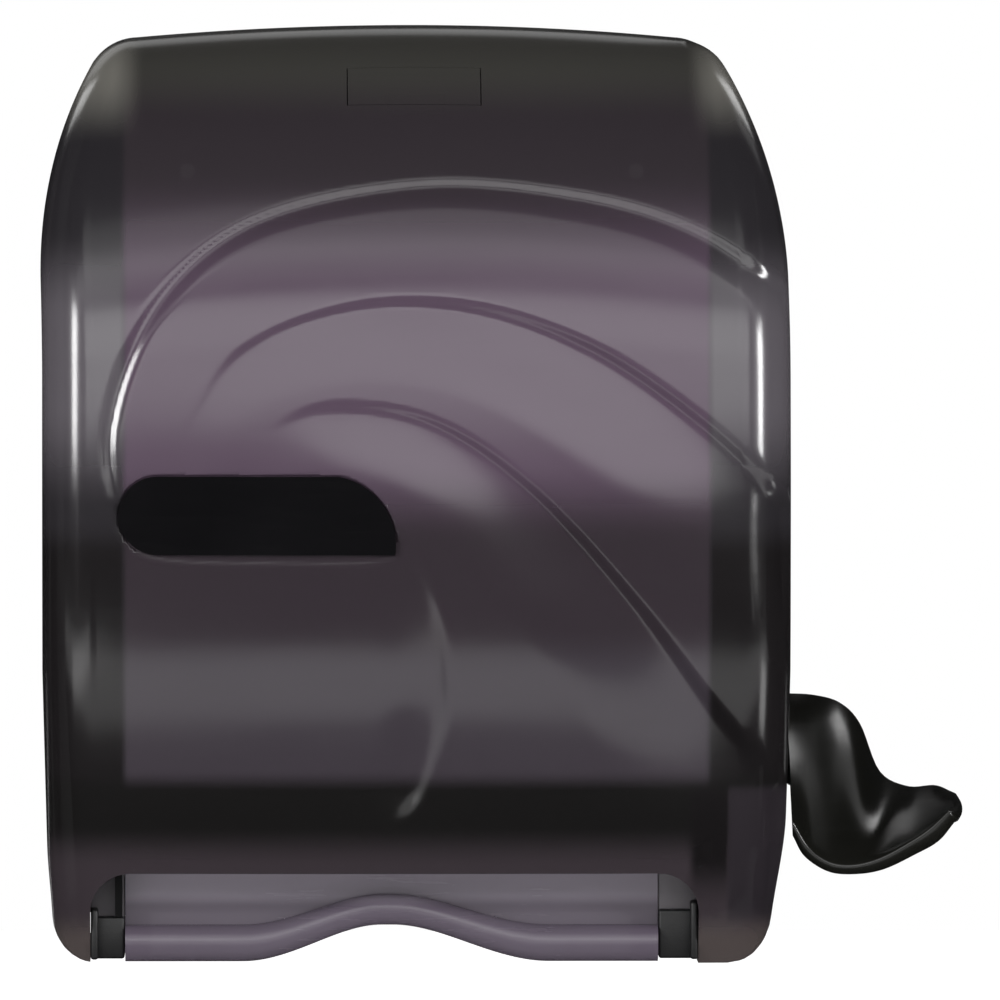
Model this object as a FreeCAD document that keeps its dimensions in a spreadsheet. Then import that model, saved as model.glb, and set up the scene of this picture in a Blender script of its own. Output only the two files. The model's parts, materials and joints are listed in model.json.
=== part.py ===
import FreeCAD, Part
import math
import os
import re
import Sketcher

# Lever paper towel dispenser, in millimetres. +X is to the right as a user faces it, the wall is
# the plane Y = 0 with the dispenser in front of it (-Y), and +Z is up. The origin is the middle of
# the four wall screws. A bottom-hinged cover swings forward off a fixed chassis that holds the
# roll, the feed rollers and the gear train that the side lever works.

V = FreeCAD.Vector
doc = FreeCAD.newDocument("lever_towel_dispenser")

# ---------------------------------------------------------------- sizes
SIZES = [
    # cover
    ("body_width", 259, "cover width at its widest"),
    ("body_height", 324, "cover height"),
    ("body_depth", 216, "wall to the front of the cover"),
    ("cover_wall", 3, "cover moulding thickness"),
    ("wall_gap", 2, "cover's rear edge to the wall"),
    ("top_radius", 108, "side profile, top front arc"),
    ("belly_drop", 30, "below the middle, where the front starts to curve back"),
    ("lower_radius", 260, "side profile, lower front arc"),
    ("front_bow", 8, "how far the front and top fall away towards the sides"),
    ("shoulder_rise", 75, "above the middle, where the sides start to lean in"),
    ("shoulder_radius", 155, "front outline, shoulder arc"),
    ("taper_drop", 60, "below the middle, where the sides start to taper"),
    ("bottom_taper", 5.1, "how far each side has come in at the bottom"),
    ("bottom_corner", 16, "front outline, bottom corner radius"),
    ("edge_round", 12, "rounding all along the cover's side edges"),
    ("cheek_left", 11.3, "what is left of the bottom beside the mouth, left"),
    ("cheek_right", 26.5, "what is left of the bottom beside the mouth, right"),
    ("mouth_height", 32, "paper mouth above the bottom edge"),
    ("mouth_round", 14, "mouth's upper corners"),
    # cover hinge
    ("hinge_back", 70, "hinge axis to the wall"),
    ("hinge_rise", 14, "hinge axis above the bottom edge"),
    ("hinge_pin_radius", 2.5, "hinge pins"),
    ("hinge_ear_radius", 7.5, "hinge ears and lugs"),
    ("running_gap", 0.05, "radial clearance of a running fit"),
    ("side_gap", 0.5, "side clearance between moving pieces"),
    # chassis
    ("roll_width", 203, "towel roll width"),
    ("roll_diameter", 203.2, "largest towel roll"),
    ("roll_side_gap", 0.5, "roll to side frame, each side"),
    ("roll_room", 3.9, "full roll to the wall"),
    ("roll_rise", 48, "roll axis above the middle"),
    ("frame_wall", 2.5, "side frame web and flange"),
    ("frame_flange", 4, "side frame upper flange, outwards from the web"),
    ("frame_inset", 12.5, "side frame edge inside the cover's profile"),
    ("low_foot_rise", 16, "side frame's lower foot above its bottom edge"),
    ("low_foot_height", 70, "side frame's lower foot on the back plate"),
    ("high_foot_drop", 28, "side frame's upper foot below the top of the cover"),
    ("high_foot_height", 22, "side frame's upper foot on the back plate"),
    ("frame_foot", 16, "side frame's bottom edge above the bottom of the cover"),
    ("swing_gap", 8.7, "side frame to the inside of the cover's top as it swings"),
    ("plate_wall", 2.5, "back plate"),
    ("plate_inset", 2.5, "back plate edge inside the cover"),
    ("plate_rim", 9, "back plate rim depth"),
    ("plate_foot", 8, "back plate's bottom edge above the bottom of the cover"),
    ("rib_depth", 4, "back plate ribs"),
    ("boss_radius", 7, "bosses round the wall screw holes"),
    ("screw_span_wide", 160, "wall screw spacing, across"),
    ("screw_span_high", 220, "wall screw spacing, up"),
    ("wall_screw_radius", 2.75, "wall screw holes"),
    # roll arms and hubs
    ("arm_wall", 3, "roll arm thickness"),
    ("arm_gap", 0.2, "roll arm to the side frame"),
    ("arm_lug", 4, "lugs above and below the roll arm's eye"),
    ("arm_height", 16, "roll arm height"),
    ("arm_pin_back", 14, "roll arm pin to the wall"),
    ("arm_pin_radius", 2, "roll arm pin"),
    ("arm_eye_radius", 4.5, "roll arm eye"),
    ("hub_flange_radius", 21, "core hub flange"),
    ("hub_plug_radius", 18.4, "core hub plug, for a 38 mm core"),
    ("hub_reach", 10, "core hub reach into the roll"),
    ("hub_stub_radius", 5, "stub that the hub turns on"),
    # feed
    ("pinch_gap", 5.45, "pinch roller behind the front guard"),
    ("feed_rise", 58, "feed roller axis above the bottom edge"),
    ("feed_radius", 15, "feed roller over its grip sleeves"),
    ("feed_core_radius", 11, "feed roller core"),
    ("feed_shaft_radius", 4, "feed shaft journals"),
    ("sleeve_count", 4, "rubber grip sleeves"),
    ("sleeve_length", 30, "rubber grip sleeve"),
    ("bush_wall", 2, "bush wall"),
    ("thumb_radius", 17, "thumb wheel"),
    ("thumb_width", 5, "thumb wheel"),
    ("pinch_radius", 8, "pinch roller"),
    ("pinch_shaft_radius", 2.5, "pinch roller shaft"),
    ("pinch_angle", 190, "pinch roller's direction from the feed roller"),
    ("nip_gap", 0.35, "paper gap between the rollers"),
    ("carrier_rise", 20, "carrier pivot above the pinch roller"),
    ("guard_wall", 2.5, "front guard"),
    ("guard_height", 27, "front guard"),
    ("guard_lift", 5, "front guard above the mouth's upper edge"),
    ("guard_gap", 3, "front guard to the cover's inside, at its ends"),
    ("blade_wall", 0.8, "tear bar steel"),
    ("blade_screw_span", 160, "tear bar's outer screws, across"),
    ("blade_height", 13, "tear bar above its teeth"),
    ("tooth_pitch", 4, "tear bar teeth"),
    ("tooth_height", 3, "tear bar teeth"),
    # chute
    ("chute_gap", 1, "chute panel's face ahead of the feed roller"),
    ("chute_wall", 3, "chute panel"),
    ("chute_height", 36, "chute panel above the bottom edge"),
    ("lip_radius", 6, "chute lip's rounding"),
    ("lip_reach", 9, "chute lip in front of the panel"),
    ("arch_rise", 11.4, "chute lip's arch in the middle"),
    ("arch_top", 22, "flat top of the arch"),
    ("arch_foot", 110, "width of the arch at its foot"),
    ("arch_shift", -8, "arch's flat top from the body's middle"),
    ("arch_lean", 4, "arch's foot to the left of its top"),
    ("chute_left", 101, "chute panel's left end from the middle"),
    ("chute_right", 84, "chute panel's right end from the middle"),
    ("lip_rise", 1, "chute lip above the bottom edge"),
    # gears
    ("gear_module", 1.5, "tooth module"),
    ("sector_teeth", 64, "sector, as a full circle"),
    ("idler_pinion_teeth", 16, "idler's small gear"),
    ("idler_gear_teeth", 34, "idler's large gear"),
    ("drive_teeth", 16, "drive pinion"),
    ("gear_backlash", 0.15, "added to each centre distance"),
    ("gear_width", 5, "sector and drive pinion face width"),
    ("gear_gap", 0.8, "between gear planes"),
    ("idler_angle", 75, "idler's direction from the feed roller"),
    ("lever_angle", -22, "lever shaft's direction from the idler"),
    ("idler_pin_radius", 3, "idler pin"),
    ("case_wall", 2.2, "gear case wall and cover"),
    ("case_room", 3.5, "gear case to the gears"),
    ("sector_hub_radius", 12, "sector hub"),
    ("lever_travel", 42, "lever stroke, in degrees"),
    ("bumper_radius", 3, "rubber stops"),
    # lever
    ("lever_shaft_radius", 6, "lever shaft journals"),
    ("lever_reach", 58.3, "lever's tip beyond its inner face"),
    ("lever_hub_radius", 20, "lever hub"),
    ("lever_front", 92, "lever's front rim ahead of its shaft"),
    ("lever_hub_length", 18, "lever hub"),
    ("lever_side_gap", 1.2, "lever to the side of the cover"),
    ("slot_gap", 2.5, "cover slot around the lever shaft collar"),
    ("collar_radius", 8, "lever shaft collar in the cover slot"),
    # latch
    ("latch_width", 46, "push tab"),
    ("latch_top_angle", 61, "push tab's upper end on the top arc"),
    ("latch_low_angle", 49.5, "push tab's lower end on the top arc"),
    ("latch_gap", 0.5, "gap around the push tab"),
    ("rocker_width", 20, "latch rocker"),
    ("rocker_wall", 3, "latch rocker"),
    ("rocker_set", 8, "rocker pin behind the start of the top arc"),
    ("hook_depth", 4, "rocker hook below the rocker pin"),
    ("hook_gap", 0.3, "rocker hook over the keeper"),
    # badge
    ("badge_proud", 0.6, "badge above the cover"),
    ("badge_sunk", 0.8, "badge into the cover"),
    # relief
    ("wave_depth", 1.9, "deepest step of the moulded waves"),
]

sheet = doc.addObject("Spreadsheet::Sheet", "Sizes")
for row, (alias, value, note) in enumerate(SIZES, start=1):
    sheet.set("A%d" % row, note)
    sheet.set("B%d" % row, str(value))
    sheet.setAlias("B%d" % row, alias)

places = doc.addObject("Spreadsheet::Sheet", "Places")
sheet_of = {alias: "Sizes" for alias, value, note in SIZES}


def link(text):
    """The expression with each alias given its sheet."""
    return re.sub(
        r"[a-z]\w*",
        lambda word: "%s.%s" % (sheet_of[word.group()], word.group())
        if word.group() in sheet_of
        else word.group(),
        str(text),
    )


def place(alias, formula):
    """A worked-out size or position, kept in the second sheet."""
    row = len(sheet_of) - len(SIZES) + 1
    places.set("B%d" % row, "=" + link(formula))
    places.setAlias("B%d" % row, alias)
    sheet_of[alias] = "Places"


# Heights of the main lines
place("top_edge", "body_height / 2")
place("bottom_edge", "-body_height / 2")
place("side_edge", "body_width / 2")
place("hinge_y", "-hinge_back")
place("hinge_z", "bottom_edge + hinge_rise")
place("feed_z", "bottom_edge + feed_rise")
place("roll_y", "-roll_diameter / 2 - roll_room")
place("mouth_top", "bottom_edge + mouth_height")
place("mouth_left", "cheek_left + bottom_taper - side_edge")
place("mouth_right", "side_edge - bottom_taper - cheek_right")
place("rear_face", "-wall_gap")
# Chassis, across
place("frame_inner", "roll_width / 2 + roll_side_gap")
place("frame_outer", "frame_inner + frame_wall")
place("frame_bottom", "bottom_edge + frame_foot")
place("low_foot_base", "frame_bottom + low_foot_rise")
place("low_foot_top", "low_foot_base + low_foot_height")
place("high_foot_top", "top_edge - high_foot_drop")
place("high_foot_base", "high_foot_top - high_foot_height")
place("flange_outer", "frame_outer + frame_flange")
# Gear planes, outwards from the right side frame
place("sector_low", "frame_outer + gear_gap")
place("sector_high", "sector_low + gear_width")
place("drive_low", "sector_high + gear_gap")
place("drive_high", "drive_low + gear_width")
place("case_low", "drive_high + gear_gap")
place("case_high", "case_low + case_wall")
# Front guard and tear bar
place("guard_low", "mouth_top + guard_lift")
place("guard_top", "guard_low + guard_height")
place("guard_bow", "front_bow * (frame_inner / side_edge) ^ 2")
place("guard_drop", "guard_low + guard_bow + belly_drop")
place("guard_skin", "lower_radius - body_depth - sqrt(lower_radius ^ 2 - guard_drop ^ 2)")
place("guard_front", "guard_skin + guard_bow + cover_wall + guard_gap")
place("guard_rear", "guard_front + guard_wall")
place("blade_rear", "guard_rear + blade_wall")
place("blade_low", "guard_low - 1.5")
place("blade_top", "blade_low + blade_height")
# Rollers, behind the guard
place("pinch_reach", "feed_radius + pinch_radius + nip_gap")
place("pinch_y", "guard_rear + pinch_gap + pinch_radius")
place("feed_y", "pinch_y - pinch_reach * cos(pinch_angle)")
place("pinch_z", "feed_z + pinch_reach * sin(pinch_angle)")
place("carrier_y", "pinch_y - 3")
place("carrier_z", "pinch_z + carrier_rise")
# Chute
place("chute_front", "feed_y - feed_radius - chute_gap")
place("chute_rear", "chute_front + chute_wall")
place("chute_top", "bottom_edge + chute_height")
place("lip_y", "chute_front + lip_radius - lip_reach")
place("lip_z", "bottom_edge + lip_rise + lip_radius")
# Gear centres
place("drive_reach", "(idler_gear_teeth + drive_teeth) * gear_module / 2 + gear_backlash")
place("sector_reach", "(sector_teeth + idler_pinion_teeth) * gear_module / 2 + gear_backlash")
place("idler_y", "feed_y + drive_reach * cos(idler_angle)")
place("idler_z", "feed_z + drive_reach * sin(idler_angle)")
place("lever_y", "idler_y + sector_reach * cos(lever_angle)")
place("lever_z", "idler_z + sector_reach * sin(lever_angle)")
# Roll arms, outside the side frames' webs
place("arm_inner", "frame_outer + arm_gap")
place("arm_outer", "arm_inner + arm_wall")
place("arm_pin_x", "arm_inner + arm_wall / 2")
place("arm_pin_y", "-arm_pin_back")
place("window_half", "hub_flange_radius + 3")
place("plate_front", "-plate_wall")
place("arm_top", "roll_rise + arm_height / 2")
place("arm_base", "roll_rise - arm_height / 2")
place("lug_top", "arm_top + side_gap + arm_lug")
place("lug_base", "arm_base - side_gap - arm_lug")
place("window_front", "roll_y - window_half - 1")
place("window_rear", "arm_pin_y - 2 * arm_eye_radius - 1")
# Gear case
place("case_front", "feed_y - drive_teeth * gear_module / 2 - gear_module - case_room - case_wall - 3")
place("case_rear", "lever_y + sector_hub_radius + case_room + case_wall + 4.8")
place("case_base", "feed_z - drive_teeth * gear_module / 2 - gear_module - case_wall - 2.3")
place("case_top", "lever_z + sector_teeth * gear_module / 2 + gear_module + case_wall + 2.5")
place("lever_inner", "side_edge + lever_side_gap")
place("lever_outer", "lever_inner + lever_hub_length")
place("collar_low", "case_high + side_gap")
# Latch pivots, on the top front arc's middle line
place("arc_y", "-(body_depth - top_radius)")
place("arc_z", "top_edge - top_radius")
place("skin_radius", "top_radius - cover_wall / 2")
place("tab_y", "arc_y - skin_radius * cos(latch_top_angle)")
place("tab_z", "arc_z + skin_radius * sin(latch_top_angle)")
place("tab_length", "skin_radius * (latch_top_angle - latch_low_angle) * pi / 180")
place("rocker_y", "arc_y + rocker_set")
place("rocker_top", "top_edge - cover_wall - 4.5")
place("rocker_z", "rocker_top - rocker_wall / 2")
place("keeper_top", "rocker_z - hook_depth - hook_gap")
place("bush_outer_radius", "feed_shaft_radius + running_gap + bush_wall")
place("lever_bush_radius", "lever_shaft_radius + running_gap + bush_wall")
doc.recompute()


def num(alias):
    """The number that an alias stands for."""
    owner = sheet if sheet_of[alias] == "Sizes" else places
    return float(owner.get(alias))


# ---------------------------------------------------------------- ways to make a piece
parts = {}


def keep(label, thing):
    """Marks an object as a sub-part of its own."""
    thing.Label = label
    parts[label] = thing
    return thing


def bind(thing, **values):
    for prop, formula in values.items():
        thing.setExpression(prop.replace("__", "."), link(formula))
    return thing


def box(name, x, y, z):
    """A block between pairs of formulas, low and high, on each axis."""
    thing = doc.addObject("Part::Box", name)
    for prop, (low, high) in zip(("Length", "Width", "Height"), (x, y, z)):
        thing.setExpression(prop, link("(%s) - (%s)" % (high, low)))
    for prop, (low, high) in zip("xyz", (x, y, z)):
        thing.setExpression("Placement.Base." + prop, link(low))
    return thing


def span(side, low, high):
    """A pair across, on the right (1) or mirrored to the left (-1)."""
    return (low, high) if side > 0 else ("-(%s)" % high, "-(%s)" % low)


def rod(name, low, high, y, z, radius):
    """A cylinder along X."""
    thing = doc.addObject("Part::Cylinder", name)
    thing.Placement = FreeCAD.Placement(V(0, 0, 0), FreeCAD.Rotation(V(0, 1, 0), 90))
    bind(thing, Radius=radius, Height="(%s) - (%s)" % (high, low))
    bind(thing, Placement__Base__x=low, Placement__Base__y=y, Placement__Base__z=z)
    return thing


def post(name, x, y, low, high, radius):
    """A cylinder along Z."""
    thing = doc.addObject("Part::Cylinder", name)
    bind(thing, Radius=radius, Height="(%s) - (%s)" % (high, low))
    bind(thing, Placement__Base__x=x, Placement__Base__y=y, Placement__Base__z=low)
    return thing


def stud(name, x, z, low, high, radius):
    """A cylinder along Y."""
    thing = doc.addObject("Part::Cylinder", name)
    thing.Placement = FreeCAD.Placement(V(0, 0, 0), FreeCAD.Rotation(V(1, 0, 0), -90))
    bind(thing, Radius=radius, Height="(%s) - (%s)" % (high, low))
    bind(thing, Placement__Base__x=x, Placement__Base__y=low, Placement__Base__z=z)
    return thing


def fuse(name, shapes):
    thing = doc.addObject("Part::MultiFuse", name)
    thing.Shapes = shapes
    thing.Refine = True
    return thing


def cut(name, base, tools):
    thing = doc.addObject("Part::Cut", name)
    thing.Base = base
    thing.Tool = tools[0] if len(tools) == 1 else fuse(name + "_tools", tools)
    return thing


def shaped(name, shape):
    """A form that no single feature gives, kept as a shape."""
    thing = doc.addObject("Part::Feature", name)
    thing.Shape = shape
    return thing


def turned(name, profile, y, z, start="0", flip=1):
    """A body turned about an axis along X. profile: (along, radius) formulas, from start."""
    body = doc.addObject("PartDesign::Body", name)
    sketch = body.newObject("Sketcher::SketchObject", name + "_profile")
    front = [f for f in body.Origin.OriginFeatures if f.Role == "XZ_Plane"][0]
    sketch.AttachmentSupport = [(front, "")]
    sketch.MapMode = "FlatFace"
    count = len(profile)
    ring = [V(index + 1, 1 + (index * 7) % 5, 0) for index in range(count)]
    for index in range(count):
        sketch.addGeometry(Part.LineSegment(ring[index], ring[(index + 1) % count]), False)
    for index in range(count):
        joined = Sketcher.Constraint("Coincident", index, 2, (index + 1) % count, 1)
        sketch.addConstraint(joined)
    for index, (along, radius) in enumerate(profile):
        formula = "%d * (%s)" % (flip, along)
        for kind, text in (("DistanceX", formula), ("DistanceY", radius)):
            fixed = sketch.addConstraint(Sketcher.Constraint(kind, -1, 1, index, 1, 1.0))
            sketch.setExpression("Constraints[%d]" % fixed, link(text))
    turn = body.newObject("PartDesign::Revolution", name + "_turn")
    turn.Profile = sketch
    turn.ReferenceAxis = (sketch, ["H_Axis"])
    turn.Angle = 360
    bind(body, Placement__Base__x=start, Placement__Base__y=y, Placement__Base__z=z)
    return body


def tube(inner, outer, low, high):
    """Profile of a plain ring, for turned."""
    return [(low, inner), (high, inner), (high, outer), (low, outer)]


# ---------------------------------------------------------------- cover form
def bow_at(x):
    """How far the form has fallen back and down at a distance from the middle."""
    return num("front_bow") * (x / num("side_edge")) ** 2


def side_profile(inset, x):
    """The side profile, set in by a wall, closed well behind the wall and below the bottom."""
    top = num("top_edge") - inset
    front = -num("body_depth") + inset
    drop = -num("belly_drop")
    behind = 40.0
    low = num("bottom_edge") - 30
    shift = V(x, bow_at(x), -bow_at(x))
    radius = num("top_radius") - inset
    centre = V(0, num("arc_y"), num("arc_z"))
    slant = math.sqrt(0.5) * radius
    lower = num("lower_radius") - inset
    lower_y = -num("body_depth") + num("lower_radius")
    foot = lower_y - math.sqrt(lower**2 - (low - drop) ** 2)
    middle = (low + drop) / 2
    bend = lower_y - math.sqrt(lower**2 - (middle - drop) ** 2)
    rear_top, arc_start = V(0, behind, top), V(0, centre.y, top)
    arc_middle, arc_end = centre + V(0, -slant, slant), V(0, front, centre.z)
    belly, foot_point = V(0, front, drop), V(0, foot, low)
    edges = [
        Part.LineSegment(rear_top, arc_start),
        Part.Arc(arc_start, arc_middle, arc_end),
        Part.LineSegment(arc_end, belly),
        Part.Arc(belly, V(0, bend, middle), foot_point),
        Part.LineSegment(foot_point, V(0, behind, low)),
        Part.LineSegment(V(0, behind, low), rear_top),
    ]
    wire = Part.Wire([edge.toShape() for edge in edges])
    wire.translate(shift)
    return wire


def half_width(height):
    """Half the front outline's width at a height."""
    lean = max(0.0, height - num("shoulder_rise"))
    radius = num("shoulder_radius")
    come_in = radius - math.sqrt(radius**2 - lean**2)
    share = (-num("taper_drop") - height) / (num("top_edge") - num("taper_drop"))
    return num("side_edge") - come_in - num("bottom_taper") * max(0.0, share)


def front_outline(inset, low, corner):
    """The front outline, set in by a wall, open-topped: it runs on above the crowned top."""
    high = num("top_edge") + 20
    bend = num("shoulder_rise")
    start = -num("taper_drop")
    near = low + corner
    at_low = half_width(near) - inset
    points = [
        V(at_low - corner, 0, low),
        V(at_low - corner * (1 - math.sqrt(0.5)), 0, near - corner * math.sqrt(0.5)),
        V(at_low, 0, near),
        V(half_width(start) - inset, 0, start),
        V(half_width(bend) - inset, 0, bend),
        V(half_width((bend + high) / 2) - inset, 0, (bend + high) / 2),
        V(half_width(high) - inset, 0, high),
    ]
    other = [V(-point.x, 0, point.z) for point in points]
    right = [
        Part.Arc(points[0], points[1], points[2]),
        Part.LineSegment(points[2], points[3]),
        Part.LineSegment(points[3], points[4]),
        Part.Arc(points[4], points[5], points[6]),
    ]
    left = [
        Part.Arc(other[6], other[5], other[4]),
        Part.LineSegment(other[4], other[3]),
        Part.LineSegment(other[3], other[2]),
        Part.Arc(other[2], other[1], other[0]),
    ]
    edges = right + [Part.LineSegment(points[6], other[6])] + left
    edges.append(Part.LineSegment(other[0], points[0]))
    return Part.Wire([edge.toShape() for edge in edges])


def bowed_block(inset):
    """The side profile lofted across the width as it falls away to both sides."""
    reach = num("side_edge") + 6
    stations = [share * reach for share in (-1.0, 0.0, 1.0)]
    return Part.makeLoft([side_profile(inset, x) for x in stations], True, False)


def outline_block(inset, low, corner, rear):
    face = Part.Face(front_outline(inset, low, corner))
    depth = num("body_depth") + 20
    face.translate(V(0, rear, 0))
    return face.extrude(V(0, -depth - rear, 0))


def rim_stations(inset):
    """Stretches of the side profile, each a list of places (y, z) with the outward normal."""
    radius = num("top_radius") - inset
    lower = num("lower_radius") - inset
    drop = -num("belly_drop")
    arc, belly = [], []
    for angle in (90, 60, 30, 0):
        turn = math.radians(angle)
        away = (-math.cos(turn), math.sin(turn))
        arc.append((num("arc_y") + radius * away[0], num("arc_z") + radius * away[1]) + away)
    for z in (drop, (drop + num("bottom_edge")) / 2 - 12, num("bottom_edge") - 25):
        down = (z - drop) / lower
        flat = math.sqrt(1 - down**2)
        belly.append((-num("body_depth") + num("lower_radius") - lower * flat, z, -flat, down))
    behind = (30.0, num("top_edge") - inset, 0.0, 1.0)
    return [[behind, arc[0]], arc, [arc[-1], belly[0]], belly]


def edge_section(inset, radius, flat, station, outwards=0.4):
    """What is taken off the right-hand side edge at one place, as a rounding or as a flat."""
    profile_y, profile_z, normal_y, normal_z = station
    z = profile_z
    for _ in range(6):
        x = half_width(z) - inset
        z = profile_z - bow_at(x)
    corner = V(x, profile_y + bow_at(x), z)
    lean = half_width(z + 0.5) - half_width(z - 0.5)
    side = V(1, 0, -lean).normalize()
    slope = 2 * num("front_bow") * x / num("side_edge") ** 2
    front = V(-slope * (normal_y - normal_z), normal_y, normal_z).normalize()
    between = side.dot(front)
    reach = radius * math.tan(math.acos(between) / 2)
    if flat:
        reach = radius * 0.6
    down_side = (side * between - front).normalize()
    over_front = (front * between - side).normalize()
    near = corner + down_side * reach + side * outwards
    far = corner + over_front * reach + front * outwards
    beyond = corner + (side + front) * (3 * outwards)
    if flat:
        inner = Part.makeLine(corner + down_side * (reach + outwards) + side * outwards,
                              corner + over_front * (reach + outwards) + front * outwards)
        near, far = inner.Vertexes[0].Point, inner.Vertexes[1].Point
    else:
        centre = corner + down_side * reach - side * radius
        inner = Part.Arc(near, centre + (side + front).normalize() * radius, far).toShape()
    return Part.Wire([inner, Part.makeLine(far, beyond), Part.makeLine(beyond, near)])


def rounded_form(inset, low, rear, flat=False):
    """The cover's outer form, or its hollow when set in by the wall, with its side edges eased."""
    corner = num("bottom_corner") - inset
    form = bowed_block(inset).common(outline_block(inset, low, corner, rear))
    cutters = []
    for stretch in rim_stations(inset):
        wires = [edge_section(inset, num("edge_round") - inset, flat, place) for place in stretch]
        cutter = Part.makeLoft(wires, True, len(wires) == 2)
        cutters += [cutter, cutter.mirror(V(0, 0, 0), V(1, 0, 0))]
    return form.cut(cutters)


def slab(x, y, z):
    """A block between numbers, for cutting forms."""
    return Part.makeBox(x[1] - x[0], y[1] - y[0], z[1] - z[0], V(x[0], y[0], z[0]))


def upright(shape, x, y, z):
    """Moves a shape drawn in X, Y and along Z so that it lies in Y, Z and along X."""
    turn = FreeCAD.Rotation(V(1, 1, 1), 120)
    shape.Placement = FreeCAD.Placement(V(x, y, z), turn).multiply(shape.Placement)
    return shape


def wedge(inner, outer, width, start, end):
    """A sector between two radii, from one angle to another."""
    whole = Part.makeCylinder(outer, width, V(0, 0, 0), V(0, 0, 1), end - start)
    if inner > 0:
        whole = whole.cut(Part.makeCylinder(inner, width))
    whole.rotate(V(0, 0, 0), V(0, 0, 1), start)
    return whole


# ---------------------------------------------------------------- cover
# Waves on the front, as shares of half the width and half the height, left to right or downwards.
OUTER_WAVE = [(-0.795, -0.09), (-0.834, 0.155), (-0.71, 0.414), (-0.44, 0.596), (0.01, 0.675),
              (0.44, 0.649), (0.757, 0.572), (1.02, 0.43)]
MIDDLE_WAVE = [(-0.64, 0.117), (-0.47, 0.319), (-0.177, 0.414), (0.145, 0.414), (0.464, 0.327),
               (0.757, 0.169), (1.02, -0.026)]
INNER_WAVE = [(-0.41, 0.148), (-0.23, 0.201), (0.037, 0.169), (0.30, 0.031), (0.571, -0.204),
              (0.811, -0.46), (1.01, -0.65)]
TAIL_WAVE = [(-0.07, -0.055), (0.037, -0.204), (0.072, -0.418), (0.011, -0.62), (-0.088, -0.716)]


def front_at(x, z):
    """Y of the cover's front at a place on it."""
    z = z + bow_at(x)
    if z > num("arc_z"):
        radius = num("top_radius")
        y = num("arc_y") - math.sqrt(radius**2 - (z - num("arc_z")) ** 2)
    elif z > -num("belly_drop"):
        y = -num("body_depth")
    else:
        radius = num("lower_radius")
        drop = z + num("belly_drop")
        y = -num("body_depth") + radius - math.sqrt(radius**2 - drop**2)
    return y + bow_at(x)


def wave_cut(shares, reach, depth_at, stations=9):
    """A scoop that is deepest at the wave's line and runs out on its inner side."""
    spread = [V(x * num("side_edge"), 0, z * num("top_edge")) for x, z in shares]
    line = Part.BSplineCurve()
    line.interpolate(spread)
    first, last = line.FirstParameter, line.LastParameter
    sections = []
    for index in range(stations):
        share = index / (stations - 1)
        at = first + (last - first) * share
        point = line.value(at)
        along = line.tangent(at)[0]
        inward = V(along.z, 0, -along.x)
        end = point + inward * (reach * (0.35 + 0.65 * share))
        depth = max(0.05, depth_at(share) * num("wave_depth"))
        near_y, far_y = front_at(point.x, point.z), front_at(end.x, end.z)
        corners = [
            V(point.x, near_y - 4, point.z),
            V(point.x, near_y + depth, point.z),
            V(end.x, far_y - 0.05, end.z),
            V(end.x, far_y - 4, end.z),
        ]
        sections.append(Part.makePolygon(corners + corners[:1]))
    return Part.makeLoft(sections, True, False)


def swell(share):
    """From nothing to full along a wave."""
    return min(1.0, share / 0.7)


def rise_and_fall(share):
    return math.sin(math.pi * share)


def badge_outline():
    """The badge: a rounded left end, a slanted right end."""
    left, right = -0.795 * num("side_edge"), -0.043 * num("side_edge")
    high, low = 0.052 * num("top_edge"), -0.115 * num("top_edge")
    middle = (high + low) / 2
    half = (high - low) / 2
    shoulder = right - half * 1.6
    corners = [V(left + half, 0, high), V(shoulder, 0, high), V(right - 2, 0, low),
               V(left + half, 0, low)]
    edges = [
        Part.LineSegment(corners[0], corners[1]),
        Part.Arc(corners[1], V(right - half * 0.42, 0, middle + half * 0.22), corners[2]),
        Part.LineSegment(corners[2], corners[3]),
        Part.Arc(corners[3], V(left, 0, middle), corners[0]),
    ]
    return Part.Face(Part.Wire([edge.toShape() for edge in edges]))


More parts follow.
